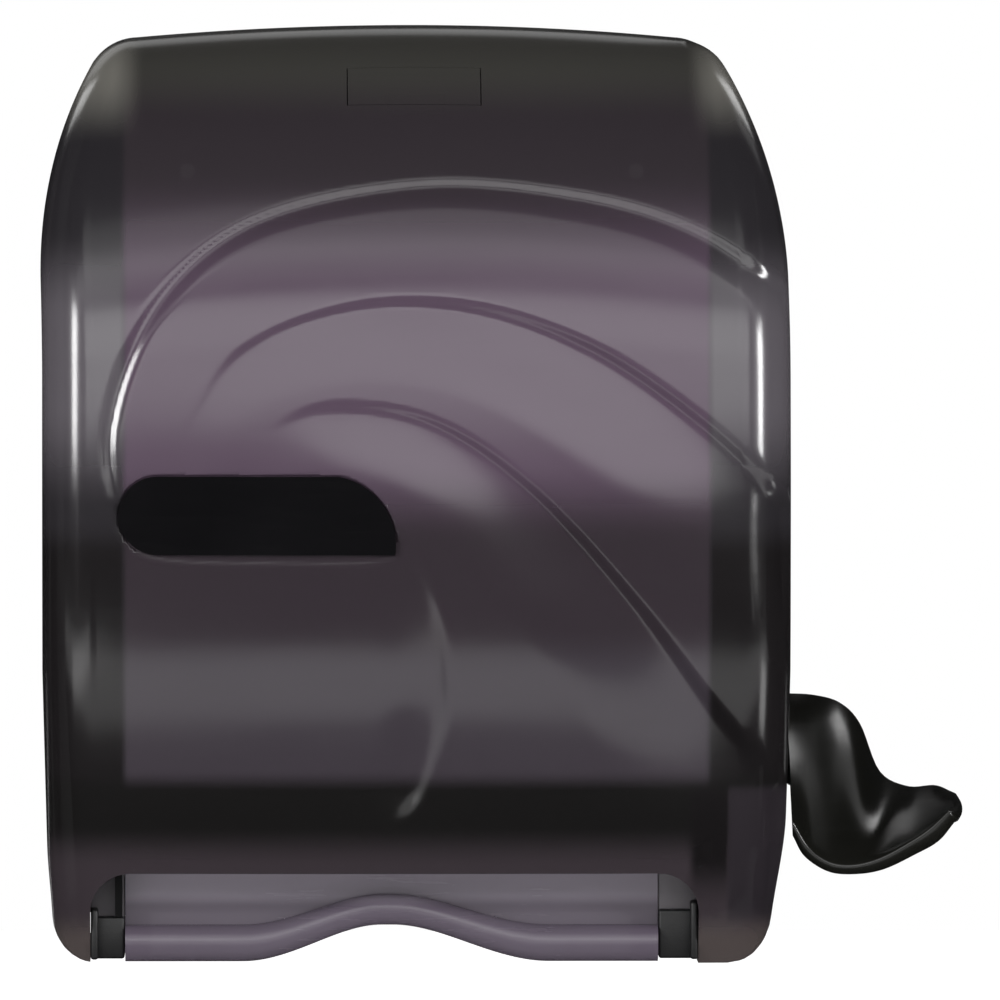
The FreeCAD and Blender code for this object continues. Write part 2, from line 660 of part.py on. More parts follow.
def cover_pieces():
    low, rear = num("bottom_edge"), num("rear_face")
    wall = num("cover_wall")
    depth = num("body_depth")
    outer = rounded_form(0, low, rear)
    hollow = rounded_form(wall, low + wall, 1, True)
    skin = outer.cut(hollow)

    # the badge sits in a recess of its own outline
    plaque = badge_outline().extrude(V(0, -depth - 10, 0))
    sunk, proud = num("badge_sunk"), num("badge_proud")
    beyond = outer.copy()
    beyond.translate(V(0, -proud, 0))
    below = outer.copy()
    below.translate(V(0, sunk, 0))
    front_half = slab((-num("body_width"), num("body_width")), (-depth - 20, -depth / 2), (low, -low))
    badge = beyond.common(plaque).common(front_half).cut(below)
    recess = outer.common(plaque).common(front_half).cut(below)

    # mouth, open at the bottom
    top = num("mouth_top")
    mouth = Part.makeBox(num("mouth_right") - num("mouth_left"), depth + 20, 3 * num("mouth_height"))
    mouth = mouth.makeFillet(
        num("mouth_round"),
        [e for e in mouth.Edges if e.BoundBox.XLength + e.BoundBox.ZLength < 0.1
         and e.BoundBox.ZMin > 1])
    mouth.translate(V(num("mouth_left"), -depth - 10, top - 3 * num("mouth_height")))

    # nothing of the floor is left behind the hinge, where it would swing up
    inner_side = half_width(low + num("bottom_corner")) - wall
    behind = slab((-inner_side, inner_side), (num("hinge_y") - 2, 5), (low - 1, low + 40))
    behind = behind.cut(hollow)

    # slot for the lever shaft's collar, which leaves by the rear edge as the cover swings
    across, up = num("lever_y") - num("hinge_y"), num("lever_z") - num("hinge_z")
    reach = math.hypot(across, up)
    angle = math.degrees(math.atan2(up, across))
    half = num("collar_radius") + num("slot_gap")
    slot = wedge(reach - half, reach + half, 40, -30, angle)
    end = Part.makeCylinder(half, 40, V(across, up, 0))
    slot = upright(slot.fuse(end), num("side_edge") - 25, num("hinge_y"), num("hinge_z"))

    # push tab, cut out of the skin round its pivot
    tab_width, gap = num("latch_width"), num("latch_gap")
    square_off = 180 - num("latch_top_angle")

    def tab_block(grow, swing=0):
        """Round the tab's pivot: the skin from its square upper end to its round lower end."""
        disc = wedge(0, num("tab_length") + grow, tab_width + 2 * grow,
                     square_off - swing, square_off + 180 + swing)
        if swing:
            disc = disc.fuse(Part.makeCylinder(grow, tab_width + 2 * grow))
        return upright(disc, -tab_width / 2 - grow, num("tab_y"), num("tab_z"))

    tab = skin.common(tab_block(0))
    window = tab_block(gap, 20)

    # waves
    cuts = [
        wave_cut(OUTER_WAVE, 12, lambda share: 0.35 + 0.4 * share),
        wave_cut(MIDDLE_WAVE, 42, swell),
        wave_cut(INNER_WAVE, 42, swell),
        wave_cut(TAIL_WAVE, 22, rise_and_fall),
    ]

    # hinge lugs
    lug_inner = num("frame_inner") - 4.4
    lugs = []
    for inner, width in ((lug_inner, 4), (-num("frame_inner") - 17, 4.4)):
        disc = Part.makeCylinder(num("hinge_ear_radius"), width)
        foot = Part.makeBox(18, 12, width, V(-22, -13, 0))
        lug = disc.fuse(foot)
        bore = Part.makeCylinder(num("hinge_pin_radius") + num("running_gap"), width)
        lugs.append(upright(lug.cut(bore), inner, num("hinge_y"), num("hinge_z")))

    # ears that carry the latch rocker's pin
    ears = []
    for side in (-1, 1):
        near = num("rocker_width") / 2 + num("side_gap")
        x = sorted((side * near, side * (near + 4)))
        ear = slab(x, (num("rocker_y") - 4, num("rocker_y") + 4),
                   (num("rocker_z") - 3, num("top_edge") - wall + 1))
        ears.append(ear)
    pin_hole = Part.makeCylinder(1.5, 60, V(-30, num("rocker_y"), num("rocker_z")), V(1, 0, 0))

    shell = skin.cut(recess).cut(mouth).cut(behind).cut(slot).cut(window)
    for scoop in cuts:
        shell = shell.cut(scoop)
    shell = shell.fuse(lugs + [ear.common(outer).cut(pin_hole) for ear in ears])
    return shell, badge, tab


def solid_of(name, shape):
    """A sub-part kept as a shape."""
    return keep(name, shaped(name + "_form", shape))


shell, badge, tab = cover_pieces()
solid_of("cover_shell", shell)
solid_of("badge_plate", badge)
post_at = math.radians(num("latch_low_angle") + 3)
pusher_reach = (num("top_radius") - num("cover_wall") + 0.5, num("top_radius") - num("cover_wall") - 4)
pusher_ends = [V(0, num("arc_y") - reach * math.cos(post_at), num("arc_z") + reach * math.sin(post_at))
               for reach in pusher_reach]
pusher = Part.makeCylinder(2.5, pusher_reach[0] - pusher_reach[1], pusher_ends[0],
                           pusher_ends[1] - pusher_ends[0])
solid_of("push_tab", tab.fuse(pusher))

# ---------------------------------------------------------------- chassis


def mirrored(shape, side):
    return shape if side > 0 else shape.mirror(V(0, 0, 0), V(1, 0, 0))


def web_outline(inset):
    """Side frame's outline as a face at X = 0: inside the cover's profile and its swing."""
    at = num("frame_outer")
    profile = Part.Face(side_profile(num("frame_inset") + inset, at))
    profile.translate(V(-at, 0, 0))
    base = num("frame_bottom") + (inset if inset else 0)
    reach = num("top_edge") - num("cover_wall") - bow_at(num("flange_outer"))
    reach -= num("hinge_z") + num("swing_gap") + inset
    sweep = Part.makeCylinder(reach, 2, V(-1, num("hinge_y"), num("hinge_z")), V(1, 0, 0))
    window = slab((-1, 1), (-num("body_depth"), num("plate_front")), (base, num("top_edge")))
    return profile.common(sweep.common(window))


def side_frame(side):
    inner, wall = num("frame_inner"), num("frame_wall")
    outer, flange = num("frame_outer"), num("flange_outer")
    face = web_outline(0)
    web = face.extrude(V(wall, 0, 0))
    web.translate(V(inner, 0, 0))
    ring = face.cut(web_outline(wall)).extrude(V(flange - outer, 0, 0))
    ring.translate(V(outer, 0, 0))
    keep_high = slab((inner, flange), (-num("body_depth"), -40), (num("case_top") + 6, num("top_edge")))
    pieces = [ring.common(keep_high)]

    # lugs for the roll arm's pin
    eye = num("arm_eye_radius")
    for low, high in (("lug_base", "arm_base"), ("arm_top", "lug_top")):
        gap = num("side_gap")
        z = (num(low), num(high) - gap) if low == "lug_base" else (num(low) + gap, num(high))
        pieces.append(slab((outer, num("arm_pin_x") + eye),
                           (num("arm_pin_y") - eye, num("arm_pin_y") + eye), z))

    # feet on the back plate
    for low, high in (("low_foot_base", "low_foot_top"), ("high_foot_base", "high_foot_top")):
        pieces.append(slab((inner - 12, inner), (2 * num("plate_front"), num("plate_front")),
                           (num(low), num(high))))
    if side > 0:
        deep = (num("case_front"), num("case_rear"))
        tall = (num("case_base"), num("case_top"))
        wall = num("case_wall")
        whole = slab((outer, num("case_low")), deep, tall)
        room = slab((outer, num("case_low")), (deep[0] + wall, deep[1] - wall),
                    (tall[0] + wall, tall[1] - wall))
        pieces.append(whole.cut(room))
        for y, z in case_corners():
            pieces.append(Part.makeCylinder(4, num("case_low") - outer, V(outer, y, z), V(1, 0, 0)))
    else:
        ear = Part.makeCylinder(num("hinge_ear_radius"), 11.5, V(inner, num("hinge_y"), num("hinge_z")),
                                V(1, 0, 0))
        pieces.append(ear)
        pieces.append(slab((inner, outer), (num("hinge_y") - 14, num("hinge_y") + 14),
                           (num("hinge_z"), num("frame_bottom") + 6)))

    # openings in the web
    cuts = [slab((inner - 1, outer + 0.01), (num("window_front"), num("window_rear")),
                 (num("roll_rise") - num("window_half"), num("roll_rise") + num("window_half")))]
    cuts.append(slab((inner - 1, outer + 0.01),
                     (num("window_rear") - 1, num("arm_pin_y") + eye + 1),
                     (num("arm_base") - num("side_gap"), num("arm_top") + num("side_gap"))))
    cuts.append(slab((inner - 1, outer + 0.01), (num("arm_pin_y") - eye, num("arm_pin_y") + eye),
                     (num("lug_top") + 0.2, num("lug_top") + 5)))
    pin = Part.makeCylinder(num("arm_pin_radius"), 60, V(num("arm_pin_x"), num("arm_pin_y"),
                                                       num("roll_rise") - 30))
    cuts.append(pin)
    holes = [(num("bush_outer_radius"), "feed_y", "feed_z"), (2, "carrier_y", "carrier_z"),
             (num("hinge_pin_radius"), "hinge_y", "hinge_z")]
    if side > 0:
        holes = holes[:2] + [(num("lever_bush_radius"), "lever_y", "lever_z"),
                             (num("idler_pin_radius"), "idler_y", "idler_z")]
        for y, z in case_corners():
            cuts.append(Part.makeCylinder(1.25, 8, V(num("case_low") - 8, y, z), V(1, 0, 0)))
    for radius, y, z in holes:
        cuts.append(Part.makeCylinder(radius, 40, V(inner - 2, num(y), num(z)), V(1, 0, 0)))
    for z in foot_screws():
        cuts.append(Part.makeCylinder(1.75, 10, V(inner - 6, -9, z), V(0, 1, 0)))
    return mirrored(web.fuse(pieces).cut(cuts), side)


def case_corners():
    """Gear case's corner bosses, (y, z)."""
    return [(y, z) for y in (num("case_front") + 4, num("case_rear") - 4)
            for z in (num("case_base") + 4, num("case_top") - 4)]


def foot_screws():
    """Heights of the side frames' screws in the back plate."""
    middle = (num("high_foot_base") + num("high_foot_top")) / 2
    return (num("low_foot_base") + 8, num("low_foot_top") - 10, middle)


solid_of("side_frame_right", side_frame(1))
solid_of("side_frame_left", side_frame(-1))

inset = num("cover_wall") + num("plate_inset")
foot = num("bottom_edge") + num("plate_foot")
plate_form = rounded_form(inset, foot, 0, True)
rim_hollow = rounded_form(inset + num("plate_wall"), foot + num("plate_wall"), 0, True)
wide = (-num("side_edge"), num("side_edge"))
tall = (num("bottom_edge"), num("top_edge"))
plate = plate_form.common(slab(wide, (num("plate_front"), 0), tall))
rim = plate_form.cut(rim_hollow)
rim = rim.common(slab(wide, (num("plate_front") - num("plate_rim"), num("plate_front")), tall))
ribs = [slab((-num("frame_inner") + 14, num("frame_inner") - 14),
             (num("plate_front") - num("rib_depth"), num("plate_front")), (z, z + 2.5))
        for z in (foot + 15, foot + 65)]
bosses = []
holes = []
for x in (-num("screw_span_wide") / 2, num("screw_span_wide") / 2):
    for z in (-num("screw_span_high") / 2, num("screw_span_high") / 2):
        bosses.append(Part.makeCylinder(num("boss_radius"), 1, V(x, num("plate_front") - 1, z), V(0, 1, 0)))
        holes.append(Part.makeCylinder(num("wall_screw_radius"), 20, V(x, -15, z), V(0, 1, 0)))
for side in (-1, 1):
    for z in foot_screws():
        holes.append(Part.makeCylinder(1.75, 2.01, V(side * (num("frame_inner") - 6),
                                                    num("plate_front") - 0.01, z), V(0, 1, 0)))
keeper_top = num("keeper_top")
keeper = [slab((-9, 9), (-18, num("plate_front")), (keeper_top - 5.7, keeper_top - 3)),
          slab((-9, 9), (-18, -14.5), (keeper_top - 5.7, keeper_top))]
notch = num("rocker_width") / 2 + 3
rim = rim.cut(slab((-notch, notch), (num("plate_front") - 2 * num("plate_rim"), num("plate_front")),
                   (0, num("top_edge"))))
solid_of("back_plate", plate.fuse([rim] + ribs + bosses + keeper).cut(holes))

# cover hinge
hinge_y, hinge_z = "hinge_y", "hinge_z"
block = rod("bracket_eye", "chute_right", "chute_right + 13", hinge_y, hinge_z, "hinge_ear_radius")
neck = box("bracket_neck", ("chute_right", "chute_right + 13"), ("hinge_y - 6", "hinge_y + 6"),
           ("hinge_z", "hinge_z + 15"))
arm = box("bracket_arm", ("chute_right", "frame_inner"), ("hinge_y - 6", "hinge_y + 6"),
          ("hinge_z + 10.5", "hinge_z + 15"))
bore = rod("bracket_bore", "chute_right - 1", "chute_right + 14", hinge_y, hinge_z, "hinge_pin_radius")
keep("hinge_bracket_right", cut("hinge_bracket", fuse("bracket_whole", [block, neck, arm]), [bore]))
keep("hinge_pin_right", rod("pin_right", "chute_right + 2", "frame_inner - 0.4", hinge_y, hinge_z,
                            "hinge_pin_radius"))
keep("hinge_pin_left", rod("pin_left", "-frame_inner - 18.5", "-frame_inner - 2", hinge_y, hinge_z,
                           "hinge_pin_radius"))

# front guard, tear bar and its screws
guard = box("guard_face", ("-frame_inner", "frame_inner"), ("guard_front", "guard_rear"),
            ("guard_low", "guard_top"))
ledge = box("guard_ledge", ("-frame_inner", "frame_inner"), ("guard_front", "guard_front + 6"),
            ("guard_top - guard_wall", "guard_top"))
blade_z = "blade_top - 4"
guard_holes = []
screws = []
for index, x in enumerate(("-blade_screw_span / 2", "0", "blade_screw_span / 2")):
    guard_holes.append(stud("guard_hole_%d" % index, x, blade_z, "guard_rear - 2",
                            "guard_rear + 1", "1.25"))
    shank = stud("blade_shank_%d" % index, x, blade_z, "guard_rear - 2", "blade_rear", "1.25")
    head = stud("blade_head_%d" % index, x, blade_z, "blade_rear", "blade_rear + 1.5", "2.6")
    screws += [shank, head]
keep("front_guard", cut("guard_drilled", fuse("guard_whole", [guard, ledge]), guard_holes))
keep("tear_bar_screws", fuse("blade_screws", screws))


def tear_blade():
    """Steel strip with pointed teeth along its lower edge."""
    half = num("frame_inner") - 2
    pitch = num("tooth_pitch")
    count = int(2 * half / pitch)
    low = num("blade_low")
    left = -count * pitch / 2
    teeth = [V(left + (index + 0.5) * pitch, 0, low - num("tooth_height")) for index in range(count)]
    roots = [V(left + (index + 1) * pitch, 0, low) for index in range(count)]
    saw = [point for pair in zip(teeth, roots) for point in pair]
    outline = [V(-half, 0, num("blade_top")), V(-half, 0, low), V(left, 0, low)] + saw
    outline += [V(half, 0, low), V(half, 0, num("blade_top")), V(-half, 0, num("blade_top"))]
    kept = [point for index, point in enumerate(outline)
            if index == 0 or (point - outline[index - 1]).Length > 0.01]
    face = Part.Face(Part.makePolygon(kept))
    face.translate(V(0, num("guard_rear"), 0))
    blade = face.extrude(V(0, num("blade_wall"), 0))
    drills = [Part.makeCylinder(1.25, 9, V(x, num("guard_rear") - 4, num("blade_top") - 4), V(0, 1, 0))
              for x in (-num("blade_screw_span") / 2, 0, num("blade_screw_span") / 2)]
    return blade.cut(drills)


solid_of("tear_bar", tear_blade())

# paper stripper: a bar with fingers between the grip sleeves
bar = box("stripper_bar", ("-frame_inner", "frame_inner"), ("feed_y + 10", "feed_y + 16"),
          ("feed_z - 20", "feed_z - 16"))
fingers = [box("stripper_finger_%d" % index, ("%d - 4" % x, "%d + 4" % x), ("feed_y - 8", "feed_y + 12"),
               ("feed_z - 17", "feed_z - 13.5")) for index, x in enumerate((-50, 0, 50))]
keep("paper_stripper", fuse("stripper", [bar] + fingers))


# chute
def arch_path(extra=0.0):
    """Middle line of the chute's lip, left to right, as tangent lines and arcs."""
    low = num("lip_z")
    high = low + num("arch_rise")
    rise = high - low
    top_half = num("arch_top") / 2
    foot = num("arch_foot") / 2
    middle = num("arch_shift")
    base = middle - num("arch_lean")
    edges = []

    def bend(start, run, up):
        """Half of a rise: a tangent arc from level, or back to level."""
        radius = (run**2 + rise**2) / (4 * rise)
        half_angle = math.atan2(rise, run)
        share = math.sin(half_angle) * radius, (1 - math.cos(half_angle)) * radius
        turn = 1 if up else -1
        first_mid = start + V(share[0], 0, turn * share[1])
        crossing = start + V(run / 2, 0, turn * rise / 2)
        end = start + V(run, 0, turn * rise)
        second_mid = end - V(share[0], 0, turn * share[1])
        return [Part.Arc(start, first_mid, crossing), Part.Arc(crossing, second_mid, end)]

    y = num("lip_y")
    left_foot, right_foot = V(base - foot, y, low), V(base + foot, y, low)
    left_top, right_top = V(middle - top_half, y, high), V(middle + top_half, y, high)
    edges.append(Part.LineSegment(V(-num("chute_left") - extra, y, low), left_foot))
    edges += bend(left_foot, left_top.x - left_foot.x, True)
    edges.append(Part.LineSegment(left_top, right_top))
    edges += bend(right_top, right_foot.x - right_top.x, False)
    edges.append(Part.LineSegment(right_foot, V(num("chute_right") + extra, y, low)))
    return [edge.toShape() for edge in edges]


def chute():
    path = arch_path()
    left, right = -num("chute_left"), num("chute_right")
    start = V(left, num("lip_y"), num("lip_z"))
    ring = Part.Wire(Part.makeCircle(num("lip_radius"), start, V(1, 0, 0)))
    lip = Part.Wire(path).makePipeShell([ring], True, True)
    top = num("chute_top")
    down = [Part.makeLine(V(right, num("lip_y"), num("lip_z")), V(right, num("lip_y"), top)),
            Part.makeLine(V(right, num("lip_y"), top), V(left, num("lip_y"), top)),
            Part.makeLine(V(left, num("lip_y"), top), start)]
    face = Part.Face(Part.Wire(path + down))
    face.translate(V(0, num("chute_front") - num("lip_y"), 0))
    panel = face.extrude(V(0, num("chute_wall"), 0))
    return panel.fuse(lip).removeSplitter()


solid_of("chute_panel", chute())
left_face = box("chute_left_face", ("-frame_inner", "-frame_inner + 9"),
                ("chute_rear", "chute_rear + 2.5"), ("frame_bottom", "frame_bottom + 18"))
left_side = box("chute_left_side", ("-frame_inner", "-frame_inner + 2.5"),
                ("chute_rear", "chute_rear + 22"), ("frame_bottom", "frame_bottom + 18"))
keep("chute_bracket_left", fuse("chute_left_bracket", [left_face, left_side]))
right_face = box("chute_right_face", ("chute_right - 12", "frame_inner"),
                 ("chute_rear", "chute_rear + 2.5"), ("frame_bottom", "frame_bottom + 14"))
right_side = box("chute_right_side", ("frame_inner - 2.5", "frame_inner"),
                 ("chute_rear", "chute_rear + 22"), ("frame_bottom", "frame_bottom + 14"))
keep("chute_bracket_right", fuse("chute_right_bracket", [right_face, right_side]))

# ---------------------------------------------------------------- roll arms
for side, name in ((1, "right"), (-1, "left")):
    sign = "" if side > 0 else "-"
    eye = post("arm_eye_" + name, sign + "arm_pin_x", "arm_pin_y", "arm_base", "arm_top",
               "arm_eye_radius")
    bar = box("arm_bar_" + name, span(side, "arm_inner", "arm_outer"), ("roll_y", "arm_pin_y"),
              ("arm_base", "arm_top"))
    low, high = span(side, "arm_inner", "arm_outer")
    end = rod("arm_end_" + name, low, high, "roll_y", "roll_rise", "arm_height / 2")
    low, high = span(side, "frame_inner - hub_reach - 1", "arm_outer")
    stub = rod("arm_stub_" + name, low, high, "roll_y", "roll_rise", "hub_stub_radius")
    low, high = span(side, "frame_inner - hub_reach - 2.5", "frame_inner - hub_reach - 0.5")
    cap = rod("arm_cap_" + name, low, high, "roll_y", "roll_rise", "hub_stub_radius + 3")
    bore = post("arm_bore_" + name, sign + "arm_pin_x", "arm_pin_y", "arm_base - 1", "arm_top + 1",
                "arm_pin_radius + running_gap")
    keep("roll_arm_" + name, cut("arm_" + name, fuse("arm_whole_" + name, [eye, bar, end, stub, cap]),
                                 [bore]))
    keep("arm_pin_" + name, post("pin_arm_" + name, sign + "arm_pin_x", "arm_pin_y", "lug_base - 1.5",
                                 "lug_top + 6", "arm_pin_radius"))
    inner = "frame_inner"
    hub_profile = [
        (inner + " - hub_reach", "hub_stub_radius + running_gap"),
        (inner + " - hub_reach", "hub_plug_radius - 2"),
        (inner + " - hub_reach + 2", "hub_plug_radius"),
        (inner, "hub_plug_radius"),
        (inner, "hub_flange_radius"),
        (inner + " + 2.3", "hub_flange_radius"),
        (inner + " + 2.3", "hub_plug_radius - 2.5"),
        (inner + " - hub_reach + 2.5", "hub_plug_radius - 2.5"),
        (inner + " - hub_reach + 2.5", "hub_stub_radius + 3"),
        (inner + " + 2.3", "hub_stub_radius + 3"),
        (inner + " + 2.3", "hub_stub_radius + running_gap"),
    ]
    keep("roll_hub_" + name, turned("hub_" + name, hub_profile, "roll_y", "roll_rise", "0", side))

# ---------------------------------------------------------------- feed rollers
journal = rod("feed_journal", "-frame_outer - 1.5 - thumb_width - 1", "drive_high + 0.3", "feed_y",
              "feed_z", "feed_shaft_radius")
keep("feed_shaft", journal)
core_half = "(frame_inner - 1.5)"
keep("feed_core", turned("feed_core_body", [
    ("-" + core_half, "feed_shaft_radius"), (core_half, "feed_shaft_radius"),
    (core_half, "feed_core_radius - 2"), (core_half + " - 4", "feed_core_radius"),
    ("-" + core_half + " + 4", "feed_core_radius"), ("-" + core_half, "feed_core_radius - 2"),
], "feed_y", "feed_z"))
count = int(num("sleeve_count"))
pitch = 200.0 / count
sleeves = []
for index in range(count):
    middle = (index - (count - 1) / 2) * pitch
    sleeve = turned("sleeve_%d" % index, tube("feed_core_radius", "feed_radius",
                    "-sleeve_length / 2", "sleeve_length / 2"), "feed_y", "feed_z", str(middle))
    sleeves.append(sleeve)
keep("grip_sleeves", fuse("sleeves", sleeves))
for side, name in ((1, "right"), (-1, "left")):
    bush = [
        ("frame_inner - 1", "feed_shaft_radius + running_gap"),
        ("frame_outer", "feed_shaft_radius + running_gap"),
        ("frame_outer", "bush_outer_radius"), ("frame_inner", "bush_outer_radius"),
        ("frame_inner", "bush_outer_radius + 1.5"), ("frame_inner - 1", "bush_outer_radius + 1.5"),
    ]
    keep("feed_bush_" + name, turned("bush_" + name, bush, "feed_y", "feed_z", "0", side))


def thumb_wheel():
    """Knurled wheel on the feed shaft's left end."""
    width = num("thumb_width")
    wheel = Part.makeCylinder(num("thumb_radius"), width)
    wheel = wheel.cut(Part.makeCylinder(num("feed_shaft_radius"), width))
    count = 16
    flutes = []
    for index in range(count):
        turn = 2 * math.pi * index / count
        at = V((num("thumb_radius") + 0.7) * math.cos(turn), (num("thumb_radius") + 0.7) * math.sin(turn), 0)
        flutes.append(Part.makeCylinder(1.8, width, at))
    ring = Part.makeCylinder(num("thumb_radius") - 4, 1.5).cut(Part.makeCylinder(8, 1.5))
    wheel = wheel.cut(flutes + [ring])
    return upright(wheel, -num("frame_outer") - 2 - width, num("feed_y"), num("feed_z"))


solid_of("thumb_wheel", thumb_wheel())

# pinch roller and its carrier
keep("pinch_roller", turned("pinch_body", tube("pinch_shaft_radius + running_gap", "pinch_radius",
                                               "-(frame_inner - 10)", "frame_inner - 10"),
                            "pinch_y", "pinch_z"))
keep("pinch_shaft", rod("pinch_axle", "-(frame_inner - 2.5)", "frame_inner - 2.5", "pinch_y", "pinch_z",
                        "pinch_shaft_radius"))


def carrier():
    """Two arms hung from the carrier pins, joined by a bar above the pinch roller."""
    arms = []
    low, high = num("frame_inner") - 7, num("frame_inner") - 2
    ends = [(num("carrier_y"), num("carrier_z")), (num("pinch_y"), num("pinch_z"))]
    for side in (-1, 1):
        start = low if side > 0 else -high
        discs = [Part.makeCylinder(5, high - low, V(start, y, z), V(1, 0, 0)) for y, z in ends]
        (top_y, top_z), (low_y, low_z) = ends
        away = V(0, top_z - low_z, low_y - top_y).normalize() * 5
        corners = [V(start, top_y, top_z) + away, V(start, low_y, low_z) + away,
                   V(start, low_y, low_z) - away, V(start, top_y, top_z) - away]
        link_face = Part.Face(Part.makePolygon(corners + corners[:1]))
        link_bar = link_face.extrude(V(high - low, 0, 0))
        arm = link_bar.fuse(discs)
        pivot = Part.makeCylinder(2 + num("running_gap"), high - low + 2,
                                  V(start - 1, *ends[0]), V(1, 0, 0))
        axle = Part.makeCylinder(num("pinch_shaft_radius"), high - low + 2,
                                 V(start - 1, *ends[1]), V(1, 0, 0))
        arms.append(arm.cut([pivot, axle]))
    y, z = ends[0]
    cross = slab((-low, low), (y - 2, y + 2), (z + 3.2, z + 8))
    lugs = [slab((side * (low + high) / 2 - 2.5, side * (low + high) / 2 + 2.5), (y - 2, y + 2),
                 (z + 3.2, z + 8)) for side in (-1, 1)]
    return arms[0].fuse([arms[1], cross] + lugs)


solid_of("pinch_carrier", carrier())
pivots = []
for side, name in ((1, "right"), (-1, "left")):
    low, high = span(side, "frame_inner - 7", "frame_outer")
    pivots.append(rod("carrier_pin_" + name, low, high, "carrier_y", "carrier_z", "2"))
keep("carrier_pin_right", pivots[0])
keep("carrier_pin_left", pivots[1])


# ---------------------------------------------------------------- gear train
def gear_face(teeth, turn):
    """Outline of a spur gear with a tooth at the angle given, its involute flanks as arcs."""
    size = num("gear_module")
    pitch_radius = teeth * size / 2
    base = pitch_radius * math.cos(math.radians(20))
    root, tip = pitch_radius - 1.05 * size, pitch_radius + 0.8 * size

    def lag(radius):
        """Angle that the involute has turned at a radius."""
        ratio = max(1.0, radius / base)
        return math.sqrt(ratio**2 - 1) - math.acos(1 / ratio)

    def at(radius, angle):
        return V(radius * math.cos(angle), radius * math.sin(angle), 0)

    half_tooth = math.pi / (2 * teeth) + lag(pitch_radius)
    edges = []
    first = last = None
    for index in range(teeth):
        middle = math.radians(turn) + 2 * math.pi * index / teeth
        flank = [(radius, half_tooth - lag(radius)) for radius in (root, (root + 2 * tip) / 3, tip)]
        rising = [at(radius, middle - half) for radius, half in flank]
        falling = [at(radius, middle + half) for radius, half in reversed(flank)]
        if last is not None:
            edges.append(Part.makeLine(last, rising[0]))
        else:
            first = rising[0]
        edges.append(Part.Arc(*rising).toShape())
        edges.append(Part.makeLine(rising[2], falling[0]))
        edges.append(Part.Arc(*falling).toShape())
        last = falling[2]
    edges.append(Part.makeLine(last, first))
    return Part.Face(Part.Wire(edges))


def between(shape, low, axis_y, axis_z):
    """Lays a shape drawn flat onto an axis along X, from a plane outwards."""
    return upright(shape, num(low), num(axis_y), num(axis_z))


def sector_gear():
    width = num("gear_width")
    facing = num("lever_angle") + 180
    start, end = facing - 52, facing + 12
    rim = gear_face(int(num("sector_teeth")), facing).extrude(V(0, 0, width))
    rim = rim.common(wedge(0, num("sector_reach"), width, start, end))
    pitch_radius = num("sector_teeth") * num("gear_module") / 2
    hole = wedge(num("sector_hub_radius") + 6, pitch_radius - 9, width, start + 9, end - 9)
    hub = Part.makeCylinder(num("sector_hub_radius"), width)
    bore = Part.makeCylinder(num("lever_shaft_radius"), width)
    return between(rim.cut(hole).fuse(hub).cut(bore), "sector_low", "lever_y", "lever_z")


def idler():
    width = num("gear_width")
    small_teeth = int(num("idler_pinion_teeth"))
    toward_lever, toward_feed = num("lever_angle"), num("idler_angle") + 180
    small = gear_face(small_teeth, toward_lever - 180 / small_teeth).extrude(V(0, 0, width))
    large = gear_face(int(num("idler_gear_teeth")), toward_feed).extrude(V(0, 0, width))
    step = width + num("gear_gap")
    large.translate(V(0, 0, step))
    dish = Part.makeCylinder(num("idler_gear_teeth") * num("gear_module") / 2 - 5, 1.5, V(0, 0, 0))
    dish = dish.cut(Part.makeCylinder(7, 1.5))
    dish.translate(V(0, 0, step + width - 1.5))
    hub = Part.makeCylinder(8, step)
    bore = Part.makeCylinder(num("idler_pin_radius") + num("running_gap"), step + width)
    return between(small.fuse([large, hub]).cut([bore, dish]), "sector_low", "idler_y", "idler_z")


def drive_pinion():
    width = num("gear_width")
    teeth = int(num("drive_teeth"))
    toward_idler = num("idler_angle")
    gear = gear_face(teeth, toward_idler - 180 / teeth).extrude(V(0, 0, width))
    hub = Part.makeCylinder(6.5, width, V(0, 0, -width))
    bore = Part.makeCylinder(num("feed_shaft_radius") + num("running_gap"), 2 * width, V(0, 0, -width))
    return between(gear.fuse(hub).cut(bore), "drive_low", "feed_y", "feed_z")


solid_of("sector_gear", sector_gear())
solid_of("idler_gear", idler())
solid_of("drive_pinion", drive_pinion())
keep("idler_pin", rod("idler_axle", "frame_inner", "case_high", "idler_y", "idler_z",
                      "idler_pin_radius"))


def coil(inner, wire, turns, pitch, centre, axis):
    """Helical spring of square wire, from its first end along an axis."""
    middle = inner + wire / 2
    helix = Part.makeHelix(pitch, pitch * turns, middle)
    half = wire / 2
    corners = [V(middle - half, 0, -half), V(middle + half, 0, -half), V(middle + half, 0, half),
               V(middle - half, 0, half)]
    ring = Part.makePolygon(corners + corners[:1])
    spring = Part.Wire(helix.Edges).makePipeShell([ring], True, True)
    spring.translate(V(0, 0, half))
    spring.Placement = FreeCAD.Placement(centre, FreeCAD.Rotation(V(0, 0, 1), axis))
    return spring


across = V(1, 0, 0)
solid_of("clutch_spring", coil(6.6, 1.0, 3, 1.2, V(num("drive_low") - 4.8, num("feed_y"), num("feed_z")),
                               across))
solid_of("return_spring", coil(num("lever_shaft_radius") + 2, 1.2, 2, 1.7,
                               V(num("drive_low") + 0.2, num("lever_y"), num("lever_z")), across))
for side, name in ((1, "right"), (-1, "left")):
    spring = coil(2.4, 0.5, 1, 0.8, V(num("frame_inner") - 1.6, num("carrier_y"), num("carrier_z")),
                  across)
    solid_of("carrier_spring_" + name, mirrored(spring, side))
    spring = coil(num("arm_pin_radius") + 0.5, 0.8, 2, 1.5,
                  V(num("arm_pin_x"), num("arm_pin_y"), num("lug_top") + 0.5), V(0, 0, 1))
    solid_of("arm_spring_" + name, mirrored(spring, side))


